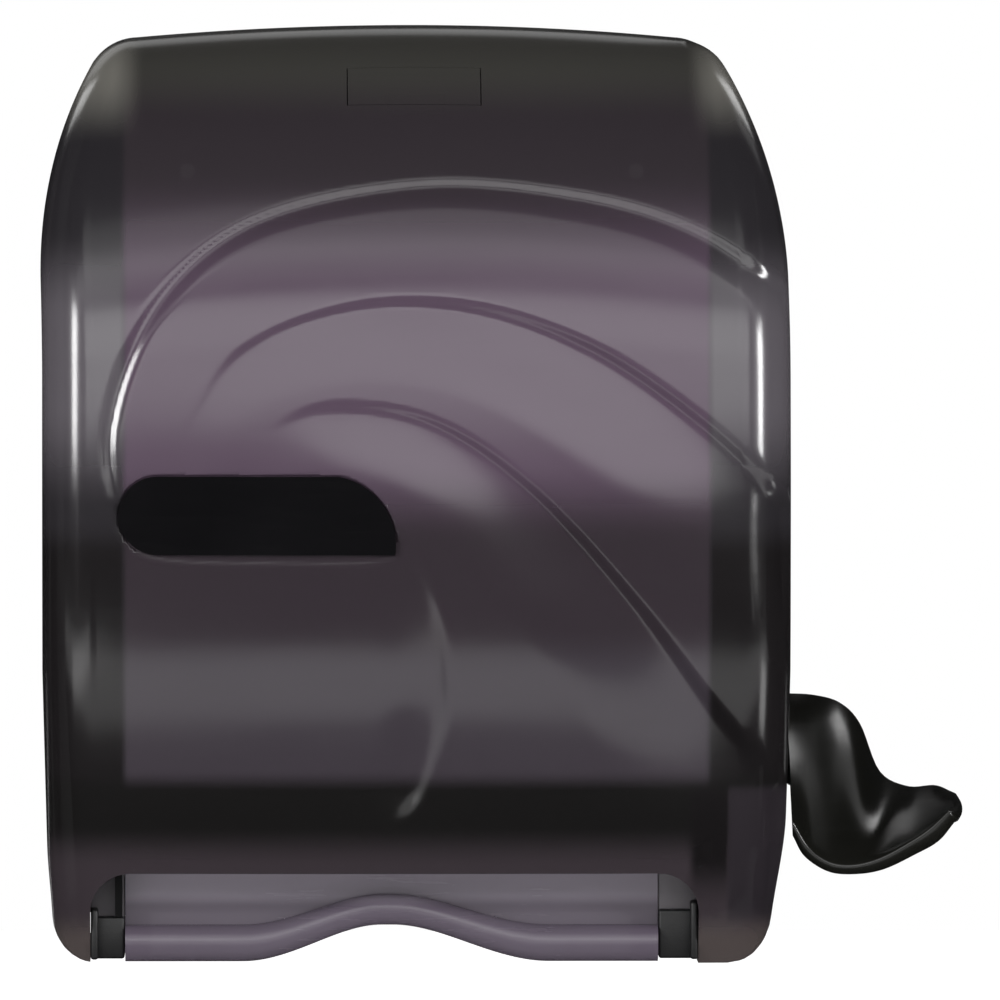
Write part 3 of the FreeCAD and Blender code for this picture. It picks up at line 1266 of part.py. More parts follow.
def stop_bumpers():
    """Rubber stops that the sector meets at both ends of the lever's stroke."""
    facing = num("lever_angle") + 180
    radius = 38.0
    away = math.degrees(math.asin((num("bumper_radius") + 0.3) / radius))
    stops = []
    for angle in (facing - 52 - away, facing + 12 + num("lever_travel") + away):
        turn = math.radians(angle)
        at = V(num("frame_outer"), num("lever_y") + radius * math.cos(turn),
               num("lever_z") + radius * math.sin(turn))
        stops.append(Part.makeCylinder(num("bumper_radius"), num("gear_width") + 0.5, at, V(1, 0, 0)))
    return Part.makeCompound(stops)


stops = stop_bumpers().Solids
solid_of("stop_bumper_rest", stops[0])
solid_of("stop_bumper_full", stops[1])

# gear case cover
lid = box("lid_plate", ("case_low", "case_high"), ("case_front", "case_rear"), ("case_base", "case_top"))
lid_holes = [
    rod("lid_lever_hole", "case_low - 1", "case_high + 1", "lever_y", "lever_z", "lever_bush_radius"),
    rod("lid_idler_hole", "case_low - 1", "case_high + 1", "idler_y", "idler_z", "idler_pin_radius"),
]
lid_screws = []
for index, (y, z) in enumerate(case_corners()):
    y_text = ("case_front + 4", "case_rear - 4")[index // 2]
    z_text = ("case_base + 4", "case_top - 4")[index % 2]
    lid_holes.append(rod("lid_hole_%d" % index, "case_low - 1", "case_high + 1", y_text, z_text, "1.25"))
    lid_screws.append(rod("lid_shank_%d" % index, "case_low - 6", "case_high", y_text, z_text, "1.25"))
    lid_screws.append(rod("lid_head_%d" % index, "case_high", "case_high + 1.4", y_text, z_text, "2.6"))
keep("gear_cover", cut("lid", lid, lid_holes))
keep("gear_cover_screws", fuse("lid_screws", lid_screws))
screws = []
for side in (1, -1):
    for index, z in enumerate(foot_screws()):
        x = "%s(frame_inner - 6)" % ("" if side > 0 else "-")
        name = "%d_%d" % (index, side + 1)
        height = "frame_bottom + 24" if index == 0 else str(z)
        screws.append(stud("foot_shank_" + name, x, height, "2 * plate_front", "plate_front + 2", "1.75"))
        screws.append(stud("foot_head_" + name, x, height, "2 * plate_front - 1.6", "2 * plate_front",
                           "3.2"))
keep("frame_screws", fuse("foot_screws", screws))

# ---------------------------------------------------------------- lever
journal = rod("lever_journal", "frame_inner - 1.5", "lever_outer - 3", "lever_y", "lever_z",
              "lever_shaft_radius")
collar = rod("lever_collar", "collar_low", "lever_inner", "lever_y", "lever_z", "collar_radius")
pin_hole = post("lever_pin_hole", "lever_inner + 9", "lever_y", "lever_z - 40", "lever_z + 40", "1.5")
keep("lever_shaft", cut("lever_axle", fuse("lever_axle_whole", [journal, collar]), [pin_hole]))
keep("lever_bush_inner", turned("bush_lever_inner", tube("lever_shaft_radius + running_gap",
                                "lever_bush_radius", "frame_inner", "frame_outer"), "lever_y", "lever_z"))
keep("lever_bush_outer", turned("bush_lever_outer", tube("lever_shaft_radius + running_gap",
                                "lever_bush_radius", "case_low", "case_high"), "lever_y", "lever_z"))

# Paddle sections as (outwards from the lever's inner face, up from the shaft): upper and lower skin
BACK_TOP = [(0, 19.9), (9.3, 19.0), (17.9, 15.4), (24.8, 5.7), (31.7, -6.8), (41.3, -10.6),
            (51.0, -10.8), (57.0, -14.2)]
BACK_LOW = [(0, 12.0), (8.5, 11.5), (14.5, 8.8), (20.0, 1.0), (27.0, -12.0), (39.0, -16.6),
            (50.0, -16.9), (55.5, -18.5)]
RIM_TOP = [(0, -19.5), (6.0, -28.4), (13.5, -33.4), (21.5, -34.6), (30.5, -33.2), (40.5, -28.4),
           (47.5, -24.0), (52.5, -19.2)]
RIM_LOW = [(0, -27.3), (4.1, -34.1), (12.3, -39.3), (21.3, -40.4), (31.3, -39.3), (42.8, -34.1),
           (51.1, -29.3), (56.8, -22.6)]


def paddle_section(forward, share):
    """One section of the paddle, between its back (0) and its front rim (1)."""
    stretch = num("lever_reach") / 58.3
    y = num("lever_y") - forward
    lines = []
    for back, rim in ((BACK_TOP, RIM_TOP), (BACK_LOW, RIM_LOW)):
        line = []
        for (back_x, back_z), (rim_x, rim_z) in zip(back, rim):
            x = num("lever_inner") + stretch * (back_x + (rim_x - back_x) * share)
            line.append(V(x, y, num("lever_z") + back_z + (rim_z - back_z) * share))
        lines.append(line)
    upper, lower = [Part.BSplineCurve() for _ in lines]
    steps = [float(index) for index in range(len(lines[0]))]
    upper.interpolate(Points=lines[0], Parameters=steps)
    lower.interpolate(Points=lines[1][::-1], Parameters=steps)
    tip = (lines[0][-1] + lines[1][-1]) * 0.5 + V(1.6, 0, 0)
    nose = Part.BSplineCurve()
    nose.interpolate(Points=[lines[0][-1], tip, lines[1][-1]], Parameters=[0.0, 1.0, 2.0])
    edges = [upper.toShape(), nose.toShape(), lower.toShape(),
             Part.makeLine(lines[1][0], lines[0][0])]
    return Part.Wire(edges)


def lever():
    front = num("lever_front")
    stations = [(0.0, 0.0), (0.34, 0.22), (0.7, 0.68), (1.0, 1.0)]
    sections = [paddle_section(front * at, share) for at, share in stations]
    paddle = Part.makeLoft(sections, True, False, False, 3)
    hub = Part.makeCylinder(num("lever_hub_radius"), num("lever_hub_length"),
                            V(num("lever_inner"), num("lever_y"), num("lever_z")), V(1, 0, 0))
    hub = hub.makeChamfer(2.5, [e for e in hub.Edges if e.CenterOfMass.x > num("lever_outer") - 0.1])
    bore = Part.makeCylinder(num("lever_shaft_radius"), num("lever_hub_length") - 3,
                             V(num("lever_inner"), num("lever_y"), num("lever_z")), V(1, 0, 0))
    pin = Part.makeCylinder(1.5, 60, V(num("lever_inner") + 9, num("lever_y"), num("lever_z") - 40))
    return paddle.fuse(hub).cut([bore, pin])


solid_of("lever_paddle", lever())
keep("lever_cross_pin", post("lever_pin", "lever_inner + 9", "lever_y", "lever_z - 15",
                             "lever_z + lever_hub_radius - 7", "1.5"))


# ---------------------------------------------------------------- latch
def rocker():
    """Strip along the top from over the keeper, then down behind the push tab."""
    half = num("rocker_width") / 2
    y, z, wall = num("rocker_y"), num("rocker_z"), num("rocker_wall")
    strip = slab((-half, half), (num("arc_y"), -6), (z - wall / 2, z + wall / 2))
    outer = z + wall / 2 - num("arc_z")
    bend = upright(wedge(outer - wall, outer, 2 * half, 90, 180 - num("latch_low_angle") - 2.5),
                   -half, num("arc_y"), num("arc_z"))
    tooth = slab((-half + 2, half - 2), (-10, -6), (z - num("hook_depth"), z))
    boss = Part.makeCylinder(3.2, 2 * half, V(-half, y, z), V(1, 0, 0))
    bore = Part.makeCylinder(1.5 + num("running_gap"), 2 * half, V(-half, y, z), V(1, 0, 0))
    return strip.fuse([bend, tooth, boss]).cut(bore)


solid_of("latch_rocker", rocker())
keep("latch_pin", rod("rocker_pin", "-rocker_width / 2 - 4.5", "rocker_width / 2 + 4.5", "rocker_y",
                      "rocker_z", "1.5"))
solid_of("latch_spring", coil(2.2, 0.7, 2, 1.6, V(0, -60, num("rocker_top") + 0.3), V(0, 0, 1)))

# ---------------------------------------------------------------- checks and files
doc.recompute()
for thing in doc.Objects:
    if "Invalid" in thing.State or "Error" in thing.State:
        raise RuntimeError("%s failed: %s" % (thing.Label, thing.State))
for label, thing in parts.items():
    if thing.Shape.isNull() or not thing.Shape.isValid():
        raise RuntimeError("%s has no valid shape" % label)

os.makedirs("parts", exist_ok=True)
for label, thing in parts.items():
    thing.Shape.exportStep("parts/%s.step" % label)
    print(label, len(thing.Shape.Solids), round(thing.Shape.Volume / 1000, 2), "cm3")
print(len(parts), "sub-parts")
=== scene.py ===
import json
import math

import bmesh
import bpy
from mathutils import Matrix, Vector, kdtree


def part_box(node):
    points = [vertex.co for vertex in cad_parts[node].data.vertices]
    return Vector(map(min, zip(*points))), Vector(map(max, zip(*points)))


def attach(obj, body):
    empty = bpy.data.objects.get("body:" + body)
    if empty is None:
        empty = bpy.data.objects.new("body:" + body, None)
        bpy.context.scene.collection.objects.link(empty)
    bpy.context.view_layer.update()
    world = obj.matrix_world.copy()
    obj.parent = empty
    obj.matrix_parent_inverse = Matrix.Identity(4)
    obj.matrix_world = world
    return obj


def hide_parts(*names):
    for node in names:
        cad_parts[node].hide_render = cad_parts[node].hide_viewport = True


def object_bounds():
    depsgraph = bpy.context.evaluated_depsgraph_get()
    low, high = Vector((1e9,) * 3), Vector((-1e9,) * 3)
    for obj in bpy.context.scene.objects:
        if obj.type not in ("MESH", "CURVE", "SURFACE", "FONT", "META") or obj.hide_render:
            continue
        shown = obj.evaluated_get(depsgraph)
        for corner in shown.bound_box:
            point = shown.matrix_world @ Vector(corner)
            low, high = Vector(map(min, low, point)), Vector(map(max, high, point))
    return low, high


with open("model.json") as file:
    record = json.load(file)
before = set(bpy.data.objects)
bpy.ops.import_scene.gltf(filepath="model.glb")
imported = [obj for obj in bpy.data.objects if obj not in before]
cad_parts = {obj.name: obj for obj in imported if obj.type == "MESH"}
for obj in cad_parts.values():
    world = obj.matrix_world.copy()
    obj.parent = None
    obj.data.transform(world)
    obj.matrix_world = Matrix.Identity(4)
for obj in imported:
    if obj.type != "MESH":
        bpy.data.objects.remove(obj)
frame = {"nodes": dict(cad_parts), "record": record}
cadBox = [list(corner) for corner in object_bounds()]
nodes = frame["nodes"]
mm = 0.001
print("frame loaded:", len(nodes), "nodes")


# shader node groups: each puts out masks and heights that change over the surface
def newGroup(name, inputs, outputs):
    group = bpy.data.node_groups.new(name, "ShaderNodeTree")
    for socketName, value in inputs:
        socket = group.interface.new_socket(socketName, in_out="INPUT", socket_type="NodeSocketFloat")
        socket.default_value = value
    for socketName in outputs:
        group.interface.new_socket(socketName, in_out="OUTPUT", socket_type="NodeSocketFloat")
    into = group.nodes.new("NodeGroupInput")
    out = group.nodes.new("NodeGroupOutput")
    return group, into, out


def addNode(tree, kind, **values):
    node = tree.nodes.new(kind)
    for name, value in values.items():
        if hasattr(node, name):
            setattr(node, name, value)
        else:
            node.inputs[name].default_value = value
    return node


def mapRange(tree, source, low, high, toLow, toHigh):
    node = tree.nodes.new("ShaderNodeMapRange")
    for name, value in (("From Min", low), ("From Max", high), ("To Min", toLow), ("To Max", toHigh)):
        node.inputs[name].default_value = value
    tree.links.new(source, node.inputs["Value"])
    return node.outputs["Result"]


def buildMouldGrain():
    # fine spark texture of a moulding, and the slow unevenness under it
    group, into, out = newGroup("mouldGrain", [("Fine", 1800.0), ("Slow", 22.0)], ["Height", "Cloud"])
    place = addNode(group, "ShaderNodeTexCoord")
    fine = addNode(group, "ShaderNodeTexNoise", Detail=2.0, Roughness=0.5)
    slow = addNode(group, "ShaderNodeTexNoise", Detail=3.0, Roughness=0.55)
    for node, scale in ((fine, "Fine"), (slow, "Slow")):
        group.links.new(place.outputs["Object"], node.inputs["Vector"])
        group.links.new(into.outputs[scale], node.inputs["Scale"])
    group.links.new(fine.outputs[0], out.inputs["Height"])
    group.links.new(slow.outputs[0], out.inputs["Cloud"])
    return group


clothStroke = {"turn": 28, "length": 14.0, "faint": 0.45, "full": 0.8}


def buildWipeMarks():
    # faint cloth marks: noise drawn out along one direction
    group, into, out = newGroup("wipeMarks", [("Scale", 60.0), ("Amount", 1.0)], ["Mark"])
    place = addNode(group, "ShaderNodeTexCoord")
    stretch = addNode(group, "ShaderNodeMapping")
    stretch.inputs["Rotation"].default_value = (0.0, math.radians(clothStroke["turn"]), 0.0)
    stretch.inputs["Scale"].default_value = (1.0, 1.0, clothStroke["length"])
    marks = addNode(group, "ShaderNodeTexNoise", Detail=4.0, Roughness=0.6)
    group.links.new(place.outputs["Object"], stretch.inputs["Vector"])
    group.links.new(stretch.outputs["Vector"], marks.inputs["Vector"])
    group.links.new(into.outputs["Scale"], marks.inputs["Scale"])
    sharp = mapRange(group, marks.outputs[0], clothStroke["faint"], clothStroke["full"], 0.0, 1.0)
    scaled = addNode(group, "ShaderNodeMath", operation="MULTIPLY")
    group.links.new(sharp, scaled.inputs[0])
    group.links.new(into.outputs["Amount"], scaled.inputs[1])
    group.links.new(scaled.outputs[0], out.inputs["Mark"])
    return group


mouldGrain = buildMouldGrain()
wipeMarks = buildWipeMarks()


def linear(red, green, blue):
    # a screen colour, 0 to 255, as the linear one that a shader takes
    def channel(value):
        value = value / 255
        return value / 12.92 if value <= 0.04045 else ((value + 0.055) / 1.055) ** 2.4
    return (channel(red), channel(green), channel(blue), 1.0)


def newMaterial(name):
    material = bpy.data.materials.new(name)
    material.use_nodes = True
    tree = material.node_tree
    return material, tree, tree.nodes["Principled BSDF"]


def placeGroup(tree, group, **values):
    node = tree.nodes.new("ShaderNodeGroup")
    node.node_tree = group
    for name, value in values.items():
        node.inputs[name].default_value = value
    return node


def mixColour(tree, factor, first, second):
    node = tree.nodes.new("ShaderNodeMix")
    node.data_type = "RGBA"
    node.inputs[6].default_value = first
    node.inputs[7].default_value = second
    tree.links.new(factor, node.inputs[0])
    return node.outputs[2]


def addBump(tree, shader, height, strength, distance):
    bump = addNode(tree, "ShaderNodeBump", Strength=strength, Distance=distance)
    tree.links.new(height, bump.inputs["Height"])
    tree.links.new(bump.outputs["Normal"], shader.inputs["Normal"])


surfaces = {
    # how each kind is broken up: clouds and cloth marks per metre, how strong the marks and the bump are
    "plastic": {"clouds": 18.0, "wipes": 45.0, "wiped": 0.5, "bump": 0.4},
    "smoke": {"clouds": 9.0, "wipes": 30.0, "wiped": 0.35, "bump": 0.15},
    "steel": {"clouds": 60.0, "wipes": 200.0, "wiped": 0.8, "bump": 0.2},
}
unevenness = (0.3, 1.1)  # clouds and marks together, where a surface is at its smoothest and its roughest


def surfaceOf(tree, shader, kind, darker, lighter, grain, depth):
    # gives a surface its grain; returns its drifting tone, its clouds and its cloth marks
    values = surfaces[kind]
    texture = placeGroup(tree, mouldGrain, Fine=grain, Slow=values["clouds"])
    marks = placeGroup(tree, wipeMarks, Scale=values["wipes"], Amount=values["wiped"])
    tone = mixColour(tree, texture.outputs["Cloud"], linear(*darker), linear(*lighter))
    addBump(tree, shader, texture.outputs["Height"], values["bump"], depth)
    return tone, texture.outputs["Cloud"], marks.outputs["Mark"]


def setRoughness(tree, shader, clouds, marks, smooth, rough):
    spread = addNode(tree, "ShaderNodeMath", operation="ADD")
    tree.links.new(clouds, spread.inputs[0])
    tree.links.new(marks, spread.inputs[1])
    roughness = mapRange(tree, spread.outputs[0], *unevenness, smooth, rough)
    tree.links.new(roughness, shader.inputs["Roughness"])


plasticLooks = {
    # name: darker and lighter tone, roughness low and high, grain per metre, bump depth, coat
    "chassisBlack": [(12, 12, 13), (21, 21, 22), 0.42, 0.6, 1600, 0.12 * mm, 0.0],
    "plateGrey": [(96, 92, 97), (116, 112, 116), 0.45, 0.62, 1400, 0.1 * mm, 0.0],
    "badgeBlack": [(9, 9, 10), (15, 14, 16), 0.1, 0.2, 900, 0.01 * mm, 0.3],
    "rollerGrey": [(120, 119, 120), (140, 139, 139), 0.4, 0.55, 1500, 0.08 * mm, 0.0],
    "acetalWhite": [(205, 202, 192), (224, 221, 212), 0.34, 0.46, 1200, 0.05 * mm, 0.0],
    "rubberBlack": [(24, 24, 24), (40, 39, 38), 0.7, 0.9, 2400, 0.2 * mm, 0.0],
    "leverBlack": [(14, 14, 12), (22, 22, 19), 0.2, 0.28, 700, 0.003 * mm, 0.0],
}
coatRoughness = 0.08


def plasticMaterial(name):
    darker, lighter, smooth, rough, grain, depth, coat = plasticLooks[name]
    material, tree, shader = newMaterial(name)
    tone, clouds, marks = surfaceOf(tree, shader, "plastic", darker, lighter, grain, depth)
    tree.links.new(tone, shader.inputs["Base Color"])
    setRoughness(tree, shader, clouds, marks, smooth, rough)
    shader.inputs["Coat Weight"].default_value = coat
    shader.inputs["Coat Roughness"].default_value = coatRoughness
    return material


smokeLooks = {
    # name: darker and lighter tone, alpha facing and grazing, roughness low and high
    "coverSmoke": [(74, 61, 74), (82, 68, 82), 0.92, 0.98, 0.15, 0.23],
    "chuteSmoke": [(80, 72, 83), (90, 82, 94), 0.9, 0.98, 0.22, 0.32],
}
smokeGrain = {"perMetre": 2200.0, "depth": 0.02 * mm}
smokeSlant = {"blend": 0.35, "full": 0.8}
sides = ("side", 99.5 * mm, 103 * mm)  # where the cover starts to stand in front of the side frames, and where the painted side shade begins
paintedLightAndShade = {
    # painted light and shade on the smoky mouldings, set where dark or light parts stand behind and where
    # light falls: colour, then steps along X, Y, Z or |X| ("side")
    "coverSmoke": [
        [(48, 43, 47), ("z", 70 * mm, 114 * mm)],  # painted shade, darker upwards over the roll space
        [(62, 61, 58), ("z", 130 * mm, 150 * mm)],  # painted light on the brow, as the roof lights it
        [(46, 40, 45), ("z", 14 * mm, -14 * mm)],  # painted shade below the belt
        [(54, 49, 55), ("z", -44 * mm, -60 * mm)],  # a painted lighter band ahead of the rollers
        [(38, 36, 39), sides],  # painted shade where the chassis sides stand behind
        # a painted glow down each side's edge
        [(82, 78, 83), sides, ("z", -4 * mm, 34 * mm), ("z", 94 * mm, 62 * mm),
         ("y", -160 * mm, -192 * mm)],
        # painted light on the two upper corners
        [(118, 116, 110), ("side", 94 * mm, 106 * mm), ("z", 122 * mm, 150 * mm),
         ("y", -84 * mm, -120 * mm)],
        [(24, 22, 23), sides, ("z", -6 * mm, -20 * mm)],  # painted shade on the sides lower down
        [(21, 20, 20), ("z", -93 * mm, -101 * mm)],  # a painted dark band over the mouth
        [(50, 44, 48), ("z", -113 * mm, -128 * mm)],  # painted light along the mouth's upper edge
        [(70, 63, 62), ("z", -143 * mm, -155 * mm)],  # the hem, painted lighter
        # painted shade over the lower right corner, where the gear case stands behind, and on the hem beside
        # it
        [(20, 18, 19), ("x", 93 * mm, 97 * mm), ("x", 109.6 * mm, 106.4 * mm), ("z", -97 * mm, -103 * mm),
         ("z", -144 * mm, -124 * mm)],
        [(38, 34, 38), ("x", 106.8 * mm, 108.8 * mm), ("z", -98 * mm, -102 * mm),
         ("z", -150 * mm, -142 * mm)],
    ],
    "chuteSmoke": [
        [(124, 116, 128), ("z", -143 * mm, -138 * mm)],  # painted light on the flat panel above its rolled lip
    ],
}


def paintLightAndShade(tree, tone, steps):
    # paints light and shade into the moulding's colour, step by step, by place on it
    place = addNode(tree, "ShaderNodeTexCoord")
    split = addNode(tree, "ShaderNodeSeparateXYZ")
    tree.links.new(place.outputs["Object"], split.inputs[0])
    side = addNode(tree, "ShaderNodeMath", operation="ABSOLUTE")
    tree.links.new(split.outputs["X"], side.inputs[0])
    sources = {axis: split.outputs[axis.upper()] for axis in ("x", "y", "z")}
    sources["side"] = side.outputs[0]
    for colour, *edges in steps:
        mask = None
        for along, start, end in edges:
            edge = mapRange(tree, sources[along], start, end, 0.0, 1.0)
            edge.node.interpolation_type = "SMOOTHSTEP"
            if mask:
                both = addNode(tree, "ShaderNodeMath", operation="MULTIPLY")
                tree.links.new(mask, both.inputs[0])
                tree.links.new(edge, both.inputs[1])
                edge = both.outputs[0]
            mask = edge
        mix = addNode(tree, "ShaderNodeMix")
        mix.data_type = "RGBA"
        mix.inputs[7].default_value = linear(*colour)
        tree.links.new(mask, mix.inputs[0])
        tree.links.new(tone, mix.inputs[6])
        tone = mix.outputs[2]
    return tone


def smokeMaterial(name):
    # tinted translucent moulding: it hides more where it is seen at a slant
    darker, lighter, facing, grazing, smooth, rough = smokeLooks[name]
    material, tree, shader = newMaterial(name)
    tone, clouds, marks = surfaceOf(tree, shader, "smoke", darker, lighter, smokeGrain["perMetre"],
                                    smokeGrain["depth"])
    # the base colour carries the painted light and shade
    tree.links.new(paintLightAndShade(tree, tone, paintedLightAndShade[name]), shader.inputs["Base Color"])
    setRoughness(tree, shader, clouds, marks, smooth, rough)
    slant = addNode(tree, "ShaderNodeLayerWeight", Blend=smokeSlant["blend"])
    alpha = mapRange(tree, slant.outputs["Facing"], 0.0, smokeSlant["full"], facing, grazing)
    tree.links.new(alpha, shader.inputs["Alpha"])
    return material


steelLook = {
    "tones": [(168, 168, 170), (196, 196, 198)],
    "roughness": (0.24, 0.42),
    "grain": 1500.0,
    "depth": 0.02 * mm,
}


def steelMaterial():
    material, tree, shader = newMaterial("steelBright")
    tone, _, marks = surfaceOf(tree, shader, "steel", *steelLook["tones"], steelLook["grain"],
                               steelLook["depth"])
    tree.links.new(tone, shader.inputs["Base Color"])
    tree.links.new(mapRange(tree, marks, 0.0, 1.0, *steelLook["roughness"]), shader.inputs["Roughness"])
    shader.inputs["Metallic"].default_value = 1.0
    return material


materials = {name: plasticMaterial(name) for name in plasticLooks}
materials.update({name: smokeMaterial(name) for name in smokeLooks})
materials["steelBright"] = steelMaterial()
slotMaterial = {
    "cover_smoke": "coverSmoke",
    "badge_black": "badgeBlack",
    "chassis_black": "chassisBlack",
    "plate_grey": "plateGrey",
    "chute_smoke": "chuteSmoke",
    "lever_black": "leverBlack",
    "roller_grey": "rollerGrey",
    "rubber_black": "rubberBlack",
    "acetal_white": "acetalWhite",
    "steel_bright": "steelBright",
}
for part in frame["record"]["subparts"]:
    slots = nodes[part["node"]].data.materials
    slots.clear()
    slots.append(materials[slotMaterial[part["material_slot"]]])
print("materials:", len(materials))


def finishPiece(name, mesh, bodyName, slotName, replaced, sharp):
    # smooths a mesh but for edges past sharp degrees, and hands it to its body and material
    mesh.name = name
    piece = bpy.data.objects.new(name, mesh)
    bpy.context.scene.collection.objects.link(piece)
    mesh.polygons.foreach_set("use_smooth", [True] * len(mesh.polygons))
    mesh.set_sharp_from_angle(angle=math.radians(sharp))
    mesh.materials.clear()
    mesh.materials.append(materials[slotMaterial[slotName]])
    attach(piece, bodyName)
    if replaced:
        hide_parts(*replaced)
    return piece


def meshFrom(shape):
    mesh = bpy.data.meshes.new("shape")
    shape.to_mesh(mesh)
    shape.free()
    return mesh


def carved(mesh, cutters, thickness=0.0):
    # gives a sheet its wall, cuts openings out of it and returns the plain mesh
    scene = bpy.context.scene
    blank = bpy.data.objects.new("blank", mesh)
    scene.collection.objects.link(blank)
    if thickness:
        wall = blank.modifiers.new("wall", "SOLIDIFY")
        wall.thickness = thickness
        wall.offset = -1
        wall.use_even_offset = True
    helpers = []
    for cutter in cutters:
        helper = bpy.data.objects.new("cutter", cutter)
        scene.collection.objects.link(helper)
        helpers.append(helper)
        opening = blank.modifiers.new("opening", "BOOLEAN")
        opening.operation = "DIFFERENCE"
        opening.solver = "EXACT"
        opening.object = helper
    bpy.context.view_layer.update()
    graph = bpy.context.evaluated_depsgraph_get()
    result = bpy.data.meshes.new_from_object(blank.evaluated_get(graph))
    for helper in [blank] + helpers:
        bpy.data.objects.remove(helper)
    return result


def gridShape(columns, rows, placeAt):
    # a sheet of columns by rows quads, each corner put where placeAt(column, row) says
    shape = bmesh.new()
    bmesh.ops.create_grid(shape, x_segments=columns, y_segments=rows, size=0.5)
    acrossAll = sorted({round(v.co.x, 5) for v in shape.verts})
    alongAll = sorted({round(v.co.y, 5) for v in shape.verts})
    across = {value: index for index, value in enumerate(acrossAll)}
    along = {value: index for index, value in enumerate(alongAll)}
    for vert in shape.verts:
        vert.co = placeAt(across[round(vert.co.x, 5)], along[round(vert.co.y, 5)])
    return shape


def smoothThrough(points, at):
    # a smooth line through points, at 0 on the first and 1 on the last
    spans = len(points) - 1
    place = min(max(at, 0.0), 1.0) * spans
    index = min(int(place), spans - 1)
    part = place - index
    here, there = points[index], points[index + 1]
    before = points[index - 1] if index else here * 2 - there
    after = points[index + 2] if index + 2 <= spans else there * 2 - here
    first = (there - before) * 0.5
    last = (after - here) * 0.5
    square, cube = part ** 2, part ** 3
    return (here * (2 * cube - 3 * square + 1) + first * (cube - 2 * square + part)
            + there * (3 * square - 2 * cube) + last * (cube - square))


bevelSteps = 3
# how near two corners are when a seam joins them
seam = {"fine": 0.005 * mm, "usual": 0.01 * mm, "coarse": 0.02 * mm}


def bevelEdges(shape, edges, reach, segments=bevelSteps):
    bmesh.ops.bevel(shape, geom=edges, offset=reach, segments=segments, profile=0.5, affect="EDGES",
                    material=-1)


def blockShape(low, high, ease=0.0):
    shape = bmesh.new()
    middle = [(a + b) / 2 for a, b in zip(low, high)]
    size = [b - a for a, b in zip(low, high)]
    place = Matrix.Translation(middle) @ Matrix.Diagonal(size + [1])
    bmesh.ops.create_cube(shape, size=1.0, matrix=place)
    if ease:
        bevelEdges(shape, shape.edges[:], ease)
    return shape


def rodShape(low, high, y, z, radius, segments, ease):
    # a rod along X with eased ends
    shape = bmesh.new()
    turn = Matrix.Rotation(math.pi / 2, 4, "Y")
    place = Matrix.Translation(((low + high) / 2, y, z)) @ turn
    bmesh.ops.create_cone(shape, cap_ends=True, segments=segments, radius1=radius, radius2=radius,
                          depth=high - low, matrix=place)
    rims = [edge for edge in shape.edges if abs(edge.verts[0].co.x - edge.verts[1].co.x) < 0.001 * mm]
    bevelEdges(shape, rims, ease)
    return shape


def closeShape(shape, gap):
    # joins the seams of a rolled-up sheet, fills its ends and turns its faces outwards
    bmesh.ops.remove_doubles(shape, verts=shape.verts[:], dist=gap)
    bmesh.ops.holes_fill(shape, edges=[edge for edge in shape.edges if edge.is_boundary])
    bmesh.ops.recalc_face_normals(shape, faces=shape.faces[:])


def barShape(rows, placeAt):
    # a four-sided bar along a path, with the corner that placeAt(column, row) gives
    shape = gridShape(4, rows, lambda column, row: placeAt(column % 4, row))
    closeShape(shape, seam["usual"])
    return shape


# the cover's form: a flat roof, a round brow, an upright face and a belly that turns under, all bowed
form = {
    "halfWidth": 129.5 * mm,
    "top": 162 * mm,
    "bottom": -162 * mm,
    "depth": 216 * mm,
    "rear": -2 * mm,
    "wall": 3 * mm,
    "topRadius": 108 * mm,
    "bellyDrop": 30 * mm,
    "lowerRadius": 260 * mm,
    "bow": 8 * mm,
    "shoulderRise": 75 * mm,
    "shoulderRadius": 155 * mm,
    "taperDrop": 60 * mm,
    "taper": 5.1 * mm,
    "bottomCorner": 16 * mm,
    "edgeRound": 19 * mm,
    # how far the front crowns, the shoulders lean and the corners tuck, and from where to where along Z
    "crownUp": (8 * mm, -8 * mm, 104 * mm),
    "crownDown": (4.2 * mm, 6 * mm, -100 * mm),
    "crownDepth": (-60 * mm, -150 * mm),
    "lean": (2.4 * mm, 40 * mm, 150 * mm),
    "leanReach": 1.4,
    "tuckRight": (4.5 * mm, -110 * mm, -156 * mm),
    "tuckLeft": (1.2 * mm, -120 * mm, -150 * mm),
    # columns on the side, in its rounding and on half the front, then rows on roof, brow, face and belly
    "fineDetail": (9, 9, 92, (16, 132, 66, 92)),
    "plainDetail": (4, 4, 44, (4, 54, 28, 40)),
    "bellyStraight": 0.87,
}
arcY = -(form["depth"] - form["topRadius"])
arcZ = form["top"] - form["topRadius"]


def smoothStep(low, high, value):
    part = min(max((value - low) / (high - low), 0.0), 1.0)
    return part * part * (3 - 2 * part)


def settle(point):
    # the small departures from the plain form: a crowned front, leaning shoulders, tucked lower corners
    share = point.x / form["halfWidth"]
    front = smoothStep(*form["crownDepth"], point.y)
    for name in ("crownUp", "crownDown"):
        amount, start, end = form[name]
        point.y += amount * smoothStep(start, end, point.z) * front
    amount, start, end = form["lean"]
    move = -amount * smoothStep(start, end, point.z) * min(abs(share) * form["leanReach"], 1.0)
    amount, start, end = form["tuckRight" if share > 0 else "tuckLeft"]
    move -= amount * smoothStep(start, end, point.z) * share ** 3
    point.x += move
    return point


def bowAt(x):
    return form["bow"] * (x / form["halfWidth"]) ** 2


def halfWidthAt(z):
    lean = max(0.0, z - form["shoulderRise"])
    radius = form["shoulderRadius"]
    comeIn = radius - math.sqrt(radius ** 2 - lean ** 2)
    share = (-form["taperDrop"] - z) / (form["top"] + form["taperDrop"])
    return form["halfWidth"] - comeIn - form["taper"] * max(0.0, share)


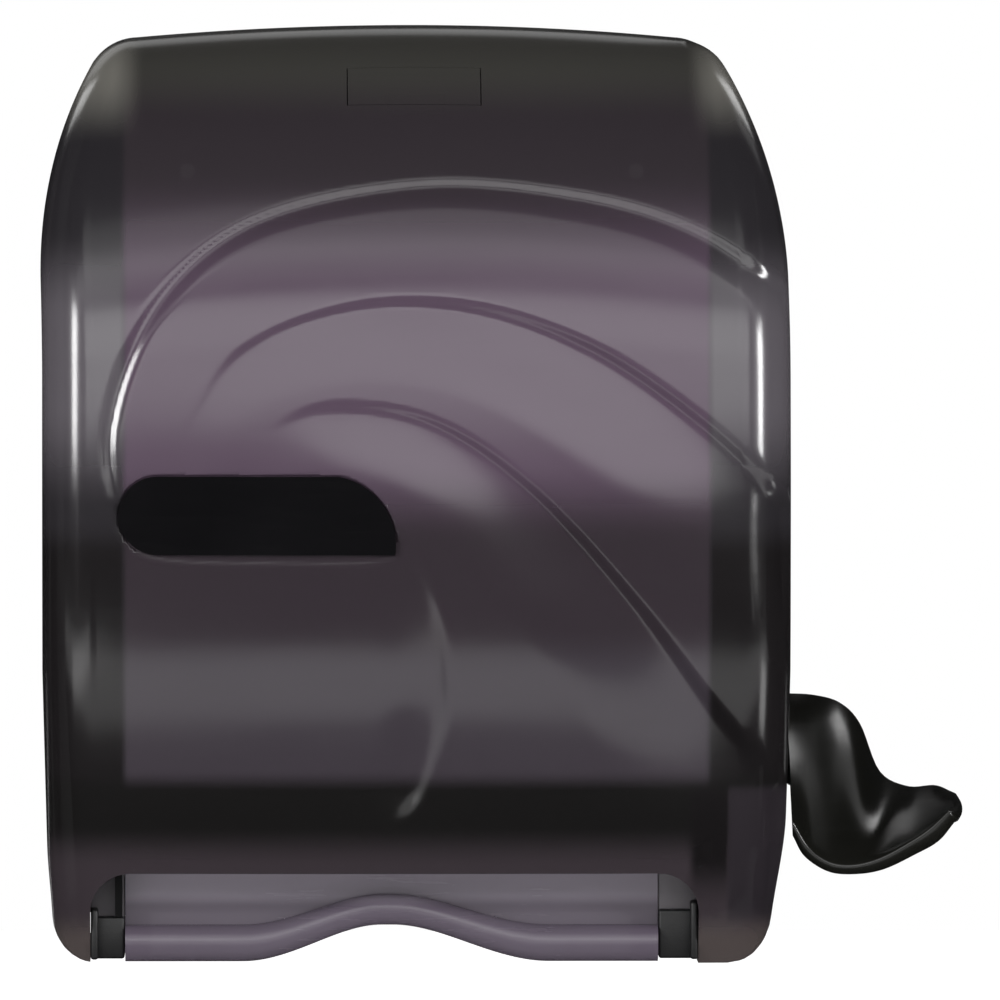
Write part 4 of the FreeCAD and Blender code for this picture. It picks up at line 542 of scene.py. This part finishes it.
def profileAt(kind, part, x, inset, rear, low):
    # a place on the form above or before x: y, z and the way it faces
    bow = bowAt(x)
    if kind == "roof":
        return rear + (arcY + bow - rear) * part, form["top"] - inset - bow, 0.0, 1.0
    if kind == "brow":
        turn = math.pi / 2 * (1 - part)
        faceY, faceZ = -math.cos(turn), math.sin(turn)
        radius = form["topRadius"] - inset
        return arcY + radius * faceY + bow, arcZ + radius * faceZ - bow, faceY, faceZ
    if kind == "face":
        return bow + inset - form["depth"], arcZ - (form["bellyDrop"] + arcZ) * part - bow, -1.0, 0.0
    drop = (form["bellyDrop"] + low + bow) * part
    radius = form["lowerRadius"]
    flat = math.sqrt((radius - inset) ** 2 - drop ** 2)
    y, z = radius - form["depth"] - flat + bow, drop - form["bellyDrop"] - bow
    return y, z, -flat / radius, drop / radius


def sectionAt(kind, part, inset, rear, low):
    # the rounding of the right-hand edge at one row: its two ends, its centre and both facings
    x = form["halfWidth"]
    for _ in range(6):  # the bow moves z with x, and x follows z, so both settle together
        y, z, faceY, faceZ = profileAt(kind, part, x, inset, rear, low)
        x = halfWidthAt(z) - inset
    corner = Vector((x, y, z))
    step = 0.5 * mm
    lean = (halfWidthAt(z + step) - halfWidthAt(z - step)) / (2 * step)
    side = Vector((1, 0, -lean)).normalized()
    slope = 2 * form["bow"] * x / form["halfWidth"] ** 2
    front = Vector((-slope * (faceY - faceZ), faceY, faceZ)).normalized()
    between = side.dot(front)
    radius = form["edgeRound"] - inset
    reach = radius * math.tan(math.acos(between) / 2)
    near = corner + (side * between - front).normalized() * reach
    far = corner + (front * between - side).normalized() * reach
    return near, far, near - side * radius, side, front


def makeForm(inset, rear, low, detail):
    # the closed form that the cover is moulded to, or its hollow when set in by the wall
    sideColumns, roundColumns, halfFront, rowCounts = detail
    rows = []
    for kind, count in zip(("roof", "brow", "face"), rowCounts):
        rows += [(kind, index / count) for index in range(count)]
    # the belly's last rows draw together towards its foot
    straight, count = form["bellyStraight"], rowCounts[3]
    rows += [("belly", straight * index / count) for index in range(count)]
    rows += [("belly", straight + (1 - straight) * math.sin(math.radians(angle)))
             for angle in range(0, 91, 10)]
    sections = [sectionAt(kind, part, inset, rear, low) for kind, part in rows]
    gone = [0.0]  # the way along the edge, row by row
    for before, after in zip(sections, sections[1:]):
        gone.append(gone[-1] + (after[0] - before[0]).length)
    half = halfFront + roundColumns + sideColumns
    lastRow = len(rows) - 1

    def place(column, row):
        step = abs(column - half)
        near, far, centre, side, front = sections[row]
        if step <= halfFront:
            x = far.x * step / halfFront
            kind, part = rows[row]
            y, z, *_ = profileAt(kind, part, x, inset, rear, low)
            if step == halfFront:
                y, z = far.y, far.z
            point = Vector((x, y, z))
        elif step <= halfFront + roundColumns:
            facing = front.slerp(side, (step - halfFront) / roundColumns)
            point = centre + facing * (form["edgeRound"] - inset)
        else:
            part = (step - halfFront - roundColumns) / sideColumns
            end = sections[0][0].z + (low - sections[0][0].z) * gone[row] / gone[-1]
            z = near.z + (end - near.z) * part
            point = Vector((halfWidthAt(z) - inset, near.y + (rear - near.y) * part, z))
        if row == lastRow:
            point.z = low
        point.y = min(point.y, rear)
        point.z = max(point.z, low)
        corner = form["bottomCorner"] - inset
        into = min(max(0.0, low + corner - point.z), corner)
        widest = halfWidthAt(point.z) - inset - corner + math.sqrt(corner ** 2 - into ** 2)
        point.x = min(point.x, widest)
        if column < half:
            point.x = -point.x
        return settle(point)

    shape = gridShape(2 * half, lastRow, place)
    rim = [edge for edge in shape.edges if edge.is_boundary]
    walls = bmesh.ops.extrude_edge_only(shape, edges=rim)
    ends = [item for item in walls["geom"] if isinstance(item, bmesh.types.BMVert)]
    bmesh.ops.pointmerge(shape, verts=ends, merge_co=(0, rear, low))
    bmesh.ops.remove_doubles(shape, verts=shape.verts[:], dist=seam["coarse"])
    bmesh.ops.dissolve_degenerate(shape, edges=shape.edges[:], dist=seam["usual"])
    bmesh.ops.recalc_face_normals(shape, faces=shape.faces[:])
    return shape


# the moulded waves
waves = {
    # line as shares of half the width and height, how far it reaches in, its step's width at both ends,
    # its depth, and its swell: starts, is full, holds until, and what is left at the end
    "outer": {"line": [(-0.795, -0.09), (-0.834, 0.155), (-0.71, 0.414), (-0.44, 0.596), (0.01, 0.675),
                       (0.44, 0.649), (0.757, 0.572), (1.02, 0.43)],
              "reach": 12 * mm, "step": (2.2 * mm, 3.0 * mm), "depth": 1.25 * mm,
              "swell": (0.0, 0.12, 1.0, 1.4)},
    "middle": {"line": [(-0.64, 0.117), (-0.47, 0.319), (-0.177, 0.414), (0.145, 0.414), (0.464, 0.327),
                        (0.757, 0.169), (1.02, -0.026)],
               "reach": 46 * mm, "step": (2.0 * mm, 5.4 * mm), "depth": 3.2 * mm,
               "swell": (0.0, 0.85, 1.0, 1.0)},
    "inner": {"line": [(-0.41, 0.148), (-0.23, 0.201), (0.037, 0.169), (0.30, 0.031), (0.571, -0.204),
                       (0.811, -0.46), (1.01, -0.65)],
              "reach": 48 * mm, "step": (2.2 * mm, 5.6 * mm), "depth": 3.4 * mm,
              "swell": (0.0, 0.6, 1.0, 1.0)},
    "tail": {"line": [(-0.07, -0.055), (0.037, -0.204), (0.072, -0.418), (0.011, -0.62),
                      (-0.088, -0.716)],
             "reach": 22 * mm, "step": (5.0 * mm, 6.4 * mm), "depth": 2.0 * mm,
             "swell": (0.0, 0.5, 0.75, 0.0)},
    "rim": {"line": [(-0.048, -0.059), (-0.037, -0.093), (-0.064, -0.121), (-0.149, -0.132),
                     (-0.31, -0.132), (-0.576, -0.13), (-0.71, -0.119), (-0.769, -0.093),
                     (-0.806, -0.055), (-0.825, -0.002)],
            "reach": 5 * mm, "step": (2.6 * mm, 2.6 * mm), "depth": 0.4 * mm,
            "swell": (0.0, 0.05, 0.95, 0.0)},
}
waveRule = {
    "samples": 400,
    "endSlant": 1.3,
    "endSlack": 2 * mm,
    "firstReach": 0.4,
    "frontFacing": -0.25,
}


def prepareWave(wave):
    points = [Vector((x * form["halfWidth"], z * form["top"])) for x, z in wave["line"]]
    count = waveRule["samples"]
    samples = [smoothThrough(points, index / count) for index in range(count + 1)]
    tree = kdtree.KDTree(len(samples))
    for index, sample in enumerate(samples):
        tree.insert((sample.x, sample.y, 0), index)
    tree.balance()
    wave["samples"], wave["tree"] = samples, tree


for wave in waves.values():
    prepareWave(wave)


def waveDepth(wave, x, z):
    # how far a wave sinks the front at x and z: a step beside its line that fades as it goes in
    _, index, distance = wave["tree"].find((x, z, 0))
    if distance > wave["reach"] + wave["step"][1]:
        return 0.0
    samples = wave["samples"]
    last = len(samples) - 1
    along = samples[min(index + 1, last)] - samples[max(index - 1, 0)]
    inward = Vector((along.y, -along.x)).normalized()
    offset = (Vector((x, z)) - samples[index]).dot(inward)
    if index in (0, last) and distance > abs(offset) * waveRule["endSlant"] + waveRule["endSlack"]:
        return 0.0
    part = index / last
    start, full, hold, end = wave["swell"]
    grown = smoothStep(start, full, part)
    if hold < 1.0:
        grown *= 1 - smoothStep(hold, 1.0, part) * (1 - end)
    reach = wave["reach"]
    if end >= 1.0:  # a wave that runs out over the edge widens on its way
        reach *= waveRule["firstReach"] + (1 - waveRule["firstReach"]) * part
    step = wave["step"][0] + (wave["step"][1] - wave["step"][0]) * part
    profile = smoothStep(-step / 2, step / 2, offset)
    fade = 1 - smoothStep(step / 2, reach, offset)
    return wave["depth"] * grown * profile * fade


def reliefAt(x, z):
    return sum(waveDepth(wave, x, z) for wave in waves.values())


cover = {
    "mouth": (-113.1 * mm, 97.9 * mm, -130 * mm),  # left, right and top
    "mouthRound": 14 * mm,
    "mouthSteps": 10,
    "hollowRear": 10 * mm,
    "slotRadius": 10.5 * mm,
    "slotSpan": (110 * mm, 140 * mm),
    "slotEnd": 35,
    "tabHalf": 23 * mm,
    "tabAngles": (61, 49.5),
    "tabGap": 0.35 * mm,
    "tabTip": 2.4,  # times the gap, above the tab, whose upper edge tips out
    "hinge": (-70 * mm, -148 * mm),
    "earRadius": 7.5 * mm,
    "earSides": 40,
    "earEase": 0.6 * mm,
    "hingeEars": ((97.6 * mm, 101.6 * mm), (-119 * mm, -114.6 * mm)),
    "latchEar": {"thick": 3 * mm, "around": 2.5 * mm, "under": 2 * mm, "top": 160.5 * mm,
                 "ease": 0.8 * mm},
    "badgeGap": 0.5 * mm,
    "badgeFacing": -0.7,
    # half the width that the floor is cut to behind the hinge, how far behind, and from below to above
    "floorCut": 121.3 * mm,
    "floorBehind": 2 * mm,
    "floorBand": (-20 * mm, 40 * mm),
    "sharp": 32,
    "tabSharp": 40,
    # how far the cutters reach past what they cut
    "cutFront": -250 * mm,
    "cutRear": 50 * mm,
    "cutDown": 120 * mm,
    "cutThrough": 8 * mm,
}


def sinkWaves(shape):
    # sets the front in along its own facing, so outer face and hollow keep their wall
    shape.normal_update()
    moves = [(vert, vert.normal * reliefAt(vert.co.x, vert.co.z)) for vert in shape.verts
             if vert.normal.y < waveRule["frontFacing"]]
    for vert, move in moves:
        vert.co -= move
    return shape


def arcBlock(low, high, inner, outer, fromAngle, toAngle):
    # a block that follows the brow's arc
    segments = 10

    def place(column, row):
        angle = math.radians(fromAngle + (toAngle - fromAngle) * row / segments)
        radius = outer if column in (1, 2) else inner
        x = high if column in (2, 3) else low
        return settle(Vector((x, arcY - radius * math.cos(angle), arcZ + radius * math.sin(angle))))
    return barShape(segments, place)


def makeMouth():
    # the wide opening at the front's foot, with round upper corners
    left, right, top = cover["mouth"]
    mouth = blockShape((left, cover["cutFront"], top - cover["cutDown"]), (right, cover["cutRear"], top))
    corners = [edge for edge in mouth.edges
               if abs(edge.verts[0].co.y - edge.verts[1].co.y) > mm and edge.verts[0].co.z > top - mm]
    bevelEdges(mouth, corners, cover["mouthRound"], cover["mouthSteps"])
    return mouth


def makeWindow():
    # the opening that the push tab stands in
    radius, through = form["topRadius"], cover["cutThrough"]
    high, low = cover["tabAngles"]
    gap = cover["tabGap"]
    turn = math.degrees(gap / radius)
    return arcBlock(-cover["tabHalf"] - gap, cover["tabHalf"] + gap, radius - through, radius + through,
                    high + turn * cover["tabTip"], low - turn)


def addEars(shape):
    # two round ears on the hinge, each on its foot, and two that hold the latch's pin
    y, z = cover["hinge"]
    reach, ease = cover["earRadius"], cover["earEase"]
    for low, high in cover["hingeEars"]:
        shape.from_mesh(meshFrom(rodShape(low, high, y, z, reach, cover["earSides"], ease)))
        foot = blockShape((low, y - reach, form["bottom"] + mm), (high, y + reach, z), ease)
        shape.from_mesh(meshFrom(foot))
    low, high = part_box("latch_pin")
    ear = cover["latchEar"]
    for side in (low.x, high.x - ear["thick"]):
        block = blockShape((side, low.y - ear["around"], low.z - ear["under"]),
                           (side + ear["thick"], high.y + ear["around"], ear["top"]), ear["ease"])
        shape.from_mesh(meshFrom(block))


def makeRecess():
    # the badge's own outline, a little larger and carried forward, to sink its seat
    shape = bmesh.new()
    shape.from_mesh(nodes["badge_plate"].data)
    bmesh.ops.remove_doubles(shape, verts=shape.verts[:], dist=seam["usual"])
    low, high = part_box("badge_plate")
    middle = (low + high) / 2
    gap = cover["badgeGap"]
    for vert in shape.verts:
        vert.co.x += (vert.co.x - middle.x) * 2 * gap / (high.x - low.x)
        vert.co.z += (vert.co.z - middle.z) * 2 * gap / (high.z - low.z)
    shape.normal_update()
    for vert in shape.verts:
        if any(face.normal.y < cover["badgeFacing"] for face in vert.link_faces):
            vert.co.y -= cover["cutThrough"]
    return shape


def makeSlot():
    # the way that the lever's collar takes out of the cover's rear edge
    hingeY, hingeZ = cover["hinge"]
    low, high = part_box("lever_shaft")
    shaftY, shaftZ = (low.y + high.y) / 2, (low.z + high.z) / 2
    reach = math.hypot(shaftY - hingeY, shaftZ - hingeZ)
    start = math.degrees(math.atan2(shaftZ - hingeZ, shaftY - hingeY))
    half = cover["slotRadius"]
    steps = 24
    inside, outside = cover["slotSpan"]

    def place(column, row):
        angle = math.radians(start - (start + cover["slotEnd"]) * row / steps)
        radius = reach + (half if column in (1, 2) else -half)
        x = outside if column in (2, 3) else inside
        return Vector((x, hingeY + radius * math.cos(angle), hingeZ + radius * math.sin(angle)))
    return barShape(steps, place)


def makeCover():
    # the moulded shell: its form less its hollow and its openings, with the ears on its inside
    skin = sinkWaves(makeForm(0.0, form["rear"], form["bottom"], form["fineDetail"]))
    wall = form["wall"]
    hollow = sinkWaves(makeForm(wall, cover["hollowRear"], form["bottom"] + wall, form["plainDetail"]))
    print("cover skin and hollow:", len(skin.faces), len(hollow.faces), "faces")
    openings = makeMouth()
    for opening in (makeWindow(), makeSlot(), makeRecess()):
        openings.from_mesh(meshFrom(opening))
    # nothing of the floor is left behind the hinge, where it would swing up into the frames
    side = cover["floorCut"]
    below, above = cover["floorBand"]
    behind = blockShape((-side, cover["hinge"][0] - cover["floorBehind"], form["bottom"] + below),
                        (side, cover["cutRear"], form["bottom"] + above))
    mesh = carved(meshFrom(skin), [meshFrom(hollow), meshFrom(openings), meshFrom(behind)])
    shape = bmesh.new()
    shape.from_mesh(mesh)
    addEars(shape)
    return finishPiece("coverSkin", meshFrom(shape), "cover", "cover_smoke", ("cover_shell",),
                       cover["sharp"])


coverSkin = makeCover()
print("cover done:", len(coverSkin.data.polygons), "faces")


def makeTab():
    # the push tab is a patch of the brow, as thick as the cover
    high, low = cover["tabAngles"]
    half = cover["tabHalf"]
    columns, rows = 30, 14
    radius = form["topRadius"]

    def place(column, row):
        x = -half + 2 * half * column / columns
        angle = math.radians(high + (low - high) * row / rows)
        y, z = arcY - radius * math.cos(angle), arcZ + radius * math.sin(angle)
        return settle(Vector((x, y + bowAt(x), z - bowAt(x))))
    shape = gridShape(columns, rows, place)
    bmesh.ops.recalc_face_normals(shape, faces=shape.faces[:])
    shape.normal_update()
    if shape.faces[0].normal.y > 0:
        bmesh.ops.reverse_faces(shape, faces=shape.faces[:])
    mesh = carved(meshFrom(shape), [], form["wall"])
    finishPiece("pushTab", mesh, "tab", "cover_smoke", ("push_tab",), cover["tabSharp"])


makeTab()
print("tab done")


lever = {
    # the paddle's upper and lower line at its back and at its rim, in mm: out from its inner face, and up
    # from the shaft
    "backTop": [(0, 17.6), (10.3, 17.0), (19.4, 14.3), (26.5, 6.9), (33.4, -9.8), (43.3, -15.2),
                (53.0, -14.9), (59.0, -17.2)],
    "backLow": [(0, 10.2), (9.5, 9.6), (16.0, 7.2), (21.8, 0.4), (28.6, -14.8), (41.0, -20.8),
                (52.0, -20.9), (57.6, -22.0)],
    "rimTop": [(0, -19.5), (6.0, -28.4), (13.5, -33.4), (21.5, -34.6), (30.5, -33.2), (40.5, -28.4),
               (47.8, -23.8), (54.2, -18.6)],
    "rimLow": [(0, -27.3), (4.1, -34.1), (12.3, -39.3), (21.3, -40.4), (31.3, -39.3), (42.8, -34.1),
               (50.8, -29.6), (56.2, -23.2)],
    "front": 92 * mm,  # from the shaft
    "hoodRound": 14 * mm,
    "rimRound": 4.2 * mm,
    "crest": 0.62,  # how high in the section the rim's edge stands
    "noseRound": 2.2 * mm,
    "tipSwell": 1.5 * mm,
    "toRim": (0.38, 0.95, -0.33),  # how the back's shape turns into the rim's: straight, square, cube
    "hubRadius": 15 * mm,
    "hubLength": 16 * mm,
    "hubSides": 72,
    "hubEase": 2.5 * mm,
    "sharp": 50,
}


def makeLever():
    # the hooked paddle, whose rows run forward from the shaft and columns round its section, and its hub
    first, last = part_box("lever_shaft")
    shaft = Vector((0, (first.y + last.y) / 2, (first.z + last.z) / 2))
    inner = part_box("lever_paddle")[0].x
    lines = {key: [Vector(point) * mm for point in lever[key]]
             for key in ("backTop", "backLow", "rimTop", "rimLow")}
    across, nose = 40, 8
    around = 2 * across + 2 * nose
    front, hood, rim = lever["front"], lever["hoodRound"], lever["rimRound"]
    # each row: forward of the shaft, and where its upper and lower face stand in the section, 1 to -1
    rows = []
    for angle in range(0, 90, 15):
        turn = math.radians(angle)
        rows.append((-hood * math.cos(turn), math.sin(turn), -math.sin(turn)))
    straight = 30
    rows += [((front - rim) * index / straight, 1.0, -1.0) for index in range(straight + 1)]
    crest = lever["crest"]
    for angle in (14, 28, 42, 56, 68, 79, 90):
        turn = math.radians(angle)
        rows.append((front - rim + rim * math.sin(turn), crest + (1 - crest) * math.cos(turn) ** 0.6,
                     crest - (1 + crest) * math.cos(turn)))
    plain, square, cube = lever["toRim"]

    def place(column, row):
        forward, high, low = rows[row]
        thick = (high - low) / 2
        at = max(0.0, forward) / (front - rim)
        share = plain * at + square * at ** 2 + cube * at ** 3
        column = column % around
        bulge = 0.0
        if column <= across:
            part, up = column / across, 1.0
        elif column < across + nose:
            part, up = 1.0, 1 - 2 * (column - across) / nose
            bulge = lever["noseRound"] * math.sqrt(1 - up * up) * thick
        elif column <= 2 * across + nose:
            part, up = 1 - (column - across - nose) / across, -1.0
        else:
            part, up = 0.0, 2 * (column - 2 * across - nose) / nose - 1
        swell = lever["tipSwell"] * math.sin(math.pi * share) * part ** 6
        upper = smoothThrough(lines["backTop"], part).lerp(smoothThrough(lines["rimTop"], part), share)
        lower = smoothThrough(lines["backLow"], part).lerp(smoothThrough(lines["rimLow"], part), share)
        flat = (upper + lower) / 2 + (upper - lower) / 2 * ((high + low) / 2 + up * thick)
        return Vector((inner + flat.x + bulge + swell, shaft.y - forward, shaft.z + flat.y))

    shape = gridShape(around, len(rows) - 1, place)
    bmesh.ops.remove_doubles(shape, verts=shape.verts[:], dist=seam["fine"])
    bmesh.ops.recalc_face_normals(shape, faces=shape.faces[:])
    hub = rodShape(inner, inner + lever["hubLength"], shaft.y, shaft.z, lever["hubRadius"],
                   lever["hubSides"], lever["hubEase"])
    shape.from_mesh(meshFrom(hub))
    return finishPiece("leverPaddle", meshFrom(shape), "lever", "lever_black", ("lever_paddle",),
                       lever["sharp"])


leverPaddle = makeLever()
print("lever done:", len(leverPaddle.data.polygons), "faces")


chute = {
    "left": -101 * mm,
    "right": 84 * mm,
    "top": -126 * mm,
    "front": -166 * mm,
    "rear": -163 * mm,
    "lipY": -169 * mm,
    "foot": -161.6 * mm,
    "rise": 12 * mm,
    "riseShare": 0.97,
    "rolls": (6.4 * mm, 5.3 * mm),  # the lip's radius at the ends and at the arch
    "leftSlope": (-60 * mm, -12 * mm),
    "rightSlope": (-8 * mm, 46 * mm),
    "sharp": 40,
}


def makeChute():
    # a flat panel whose lower edge is rolled forward and arches up in the middle
    left, right, lipY = chute["left"], chute["right"], chute["lipY"]
    across, around, down = 120, 28, 6
    ring = around + 2 * down + 2

    def place(column, row):
        x = left + (right - left) * row / across
        arch = smoothStep(*chute["leftSlope"], x) * (1 - smoothStep(*chute["rightSlope"], x))
        full, least = chute["rolls"]
        roll = full + (least - full) * arch
        middle = chute["foot"] + roll + (chute["rise"] - roll + full) * arch * chute["riseShare"]
        reach = chute["front"] - lipY
        start = math.acos(reach / roll)
        column = column % ring
        if column <= down:
            y = chute["front"]
            z = chute["top"] + (middle + roll * math.sin(start) - chute["top"]) * column / down
        elif column <= down + around:
            angle = start + (2 * math.pi - start) * (column - down) / around
            y, z = lipY + roll * math.cos(angle), middle + roll * math.sin(angle)
        else:
            y = max(chute["rear"], lipY + roll)
            z = middle + (chute["top"] - middle) * (column - down - around) / (down + 1)
        return Vector((x, y, z))
    shape = gridShape(ring, across, place)
    closeShape(shape, seam["fine"])
    finishPiece("chuteSheet", meshFrom(shape), "chassis", "chute_smoke", ("chute_panel",),
                chute["sharp"])


makeChute()
print("chute done")


blocks = {
    # what fills the mouth's corners beside the chute: low x, high x, top, and its outer flange's top
    "left": (-112.95 * mm, -101.2 * mm, -146 * mm, -143 * mm),
    "right": (84.2 * mm, 97.75 * mm, -143.6 * mm, -140.5 * mm),
    "front": -172 * mm,
    "rear": -150 * mm,
    "bottom": -160.5 * mm,
    "flange": 2.6 * mm,
    "flangeAhead": 6 * mm,
    "ribReach": 9 * mm,
    "ribThick": 3 * mm,
    "webTop": -128 * mm,
    "webFront": -165.4 * mm,
    "webThick": 1.6 * mm,
    "ease": 0.9 * mm,
    "sharp": 40,
}


def makeCornerBlock(side):
    low, high, top, flangeTop = blocks[side]
    front, rear, bottom, ease = blocks["front"], blocks["rear"], blocks["bottom"], blocks["ease"]
    if side == "left":
        outer = (low, low + blocks["flange"])
        inner = (high, high + blocks["ribReach"])
    else:
        outer = (high - blocks["flange"], high)
        inner = (low - blocks["ribReach"], low)
    shape = blockShape((low, front, bottom), (high, rear, top), ease)
    flange = blockShape((outer[0], front - blocks["flangeAhead"], bottom), (outer[1], rear, flangeTop), ease)
    shape.from_mesh(meshFrom(flange))
    # a rib and a lighter web tie the block to the bracket behind it
    rib = blockShape((inner[0], rear - blocks["ribThick"], bottom), (inner[1], rear, top), ease)
    shape.from_mesh(meshFrom(rib))
    finishPiece(side + "CornerBlock", meshFrom(shape), "chassis", "chassis_black", (), blocks["sharp"])
    webFront = blocks["webFront"]
    web = blockShape((low, webFront, top - mm), (high, webFront + blocks["webThick"], blocks["webTop"]),
                     ease / 2)
    finishPiece(side + "CornerWeb", meshFrom(web), "chassis", "plate_grey", (), blocks["sharp"])


for side in ("left", "right"):
    makeCornerBlock(side)
print("corner blocks done")


view = {
    # yaw and lift in degrees, width of the picture at the aim
    "aim": Vector((29.0 * mm, -180 * mm, -0.9 * mm)),
    "distance": 6000 * mm,
    "yaw": -0.8,
    "lift": 2.1,
    "width": 346.5 * mm,
    "sensor": 36.0,
}


def makeCamera():
    data = bpy.data.cameras.new("camera")
    data.sensor_width = view["sensor"]
    data.lens = view["sensor"] * view["distance"] / view["width"]
    camera = bpy.data.objects.new("camera", data)
    yaw, lift = math.radians(view["yaw"]), math.radians(view["lift"])
    back = Vector((math.sin(yaw) * math.cos(lift), -math.cos(yaw) * math.cos(lift), math.sin(lift)))
    camera.location = view["aim"] + back * view["distance"]
    camera.rotation_mode = "QUATERNION"
    camera.rotation_quaternion = (-back).to_track_quat("-Z", "Y")
    bpy.context.scene.collection.objects.link(camera)
    bpy.context.scene.camera = camera


lamps = {
    # in metres and watts: place, what it points at, width and height, power
    "frontPanel": [(0.05, -1.7, 0.54), (0.0, -0.2, 0.05), (1.6, 0.56), 8.2],
    "frontHigh": [(0.0, -1.35, 1.25), (0.0, -0.2, 0.1), (1.3, 0.5), 2.0],
    "leftStrip": [(-1.05, -1.05, 0.36), (-0.12, -0.2, 0.05), (0.24, 0.46), 9.6],
    "rightStrip": [(1.15, -1.0, 0.30), (0.12, -0.2, 0.05), (0.24, 0.38), 10.0],
    "leftRoof": [(-0.76, 0.98, 0.85), (-0.11, -0.15, 0.14), (0.3, 0.36), 0.7],
    "rightRoof": [(0.74, 1.00, 0.85), (0.11, -0.15, 0.14), (0.3, 0.36), 0.8],
    "backGlow": [(-0.20, 1.3, 0.66), (-0.1, -0.1, 0.16), (0.76, 0.4), 0.4],
    "tailGlow": [(-0.27, -0.46, -0.145), (0.0, -0.21, -0.06), (0.24, 0.05), 0.08],
    "leverGlow": [(0.80, 0.52, 0.78), (0.15, -0.14, -0.1), (0.16, 0.36), 0.07],
    "rightGlow": [(0.30, -0.30, -0.135), (0.119, -0.203, -0.066), (0.05, 0.05), 0.035],
    "floorGlow": [(0.0, -0.40, -0.143), (0.0, -0.21, -0.07), (1.4, 0.06), 0.32],
}


def makeLights():
    for name, (place, target, size, power) in lamps.items():
        data = bpy.data.lights.new(name, "AREA")
        data.shape = "RECTANGLE"
        data.size, data.size_y = size
        data.energy = power
        lamp = bpy.data.objects.new(name, data)
        lamp.location = place
        aim = Vector(target) - Vector(place)
        lamp.rotation_mode = "QUATERNION"
        lamp.rotation_quaternion = aim.to_track_quat("-Z", "Y")
        lamp.visible_camera = False
        bpy.context.scene.collection.objects.link(lamp)


cards = {
    # dark cards that the glossy faces mirror: middle, size, turn about Z, then tilt
    "leftCard": [(-1.7, -0.2, 0.6), (3.4, 2.4), 90, 0],
    "rightCard": [(1.75, -0.2, 0.6), (3.4, 2.4), 90, 0],
    "topCard": [(0.0, 0.0, 1.6), (3.6, 3.6), 0, 90],
    "frontCard": [(0.0, -3.0, 0.6), (5.0, 2.4), 0, 0],
    "floorCard": [(0.0, -0.9, -0.3205), (4.4, 4.4), 0, 90],
    "backCard": [(0.0, 1.5, 0.6), (3.6, 2.4), 0, 0],
}


cardTone = (0.01, 0.01, 0.01, 1)


def makeCards():
    material, _, shader = newMaterial("cardBlack")
    shader.inputs["Base Color"].default_value = cardTone
    shader.inputs["Roughness"].default_value = 1.0
    shader.inputs["Specular IOR Level"].default_value = 0.0
    for name, (middle, size, turn, tilt) in cards.items():
        shape = bmesh.new()
        place = Matrix.Translation(middle) @ Matrix.Rotation(math.radians(turn), 4, "Z")
        place = place @ Matrix.Rotation(math.radians(90 - tilt), 4, "X")
        place = place @ Matrix.Diagonal((*size, 1, 1))
        bmesh.ops.create_grid(shape, x_segments=1, y_segments=1, size=0.5, matrix=place)
        card = bpy.data.objects.new(name, meshFrom(shape))
        card.data.materials.append(material)
        card.visible_camera = False
        card.visible_shadow = False
        card.visible_diffuse = False
        bpy.context.scene.collection.objects.link(card)


def backgroundRays(tree):
    # 1 for the rays that show the background: seen straight, mirrored or through glass
    rays = addNode(tree, "ShaderNodeLightPath")
    seen = rays.outputs["Is Camera Ray"]
    for ray in ("Is Glossy Ray", "Is Transmission Ray"):
        either = addNode(tree, "ShaderNodeMath", operation="MAXIMUM")
        tree.links.new(seen, either.inputs[0])
        tree.links.new(rays.outputs[ray], either.inputs[1])
        seen = either.outputs[0]
    return seen


studio = {
    # the world's light on the object, and what the background shows
    "light": 0.3,
    "backdrop": 1.0,
    "floorTone": (0.85, 0.85, 0.85, 1),
    "floorRoughness": 0.9,
    "floorGlow": 0.8,
    "floorHalf": 3.0,
    "floorAhead": -0.4,
    "floorDrop": 160 * mm,  # low enough for the cover to swing down clear of it
}


def makeWorld():
    world = bpy.data.worlds.new("studio")
    bpy.context.scene.world = world
    world.use_nodes = True
    tree = world.node_tree
    background = tree.nodes["Background"]
    background.inputs["Color"].default_value = (1, 1, 1, 1)
    strength = mapRange(tree, backgroundRays(tree), 0.0, 1.0, studio["light"], studio["backdrop"])
    tree.links.new(strength, background.inputs["Strength"])


def makeFloor():
    shape = bmesh.new()
    place = Matrix.Translation((0, studio["floorAhead"], cadBox[0][2] - studio["floorDrop"]))
    bmesh.ops.create_grid(shape, x_segments=2, y_segments=2, size=studio["floorHalf"], matrix=place)
    floor = bpy.data.objects.new("floor", meshFrom(shape))
    bpy.context.scene.collection.objects.link(floor)
    material, tree, shader = newMaterial("paleFloor")
    shader.inputs["Base Color"].default_value = studio["floorTone"]
    shader.inputs["Roughness"].default_value = studio["floorRoughness"]
    shader.inputs["Emission Color"].default_value = (1, 1, 1, 1)
    glow = mapRange(tree, backgroundRays(tree), 0.0, 1.0, 0.0, studio["floorGlow"])
    tree.links.new(glow, shader.inputs["Emission Strength"])
    floor.data.materials.append(material)


makeCamera()
makeLights()
makeCards()
makeWorld()
makeFloor()
bpy.context.scene.view_settings.view_transform = "Standard"
print("camera, lights and floor done")
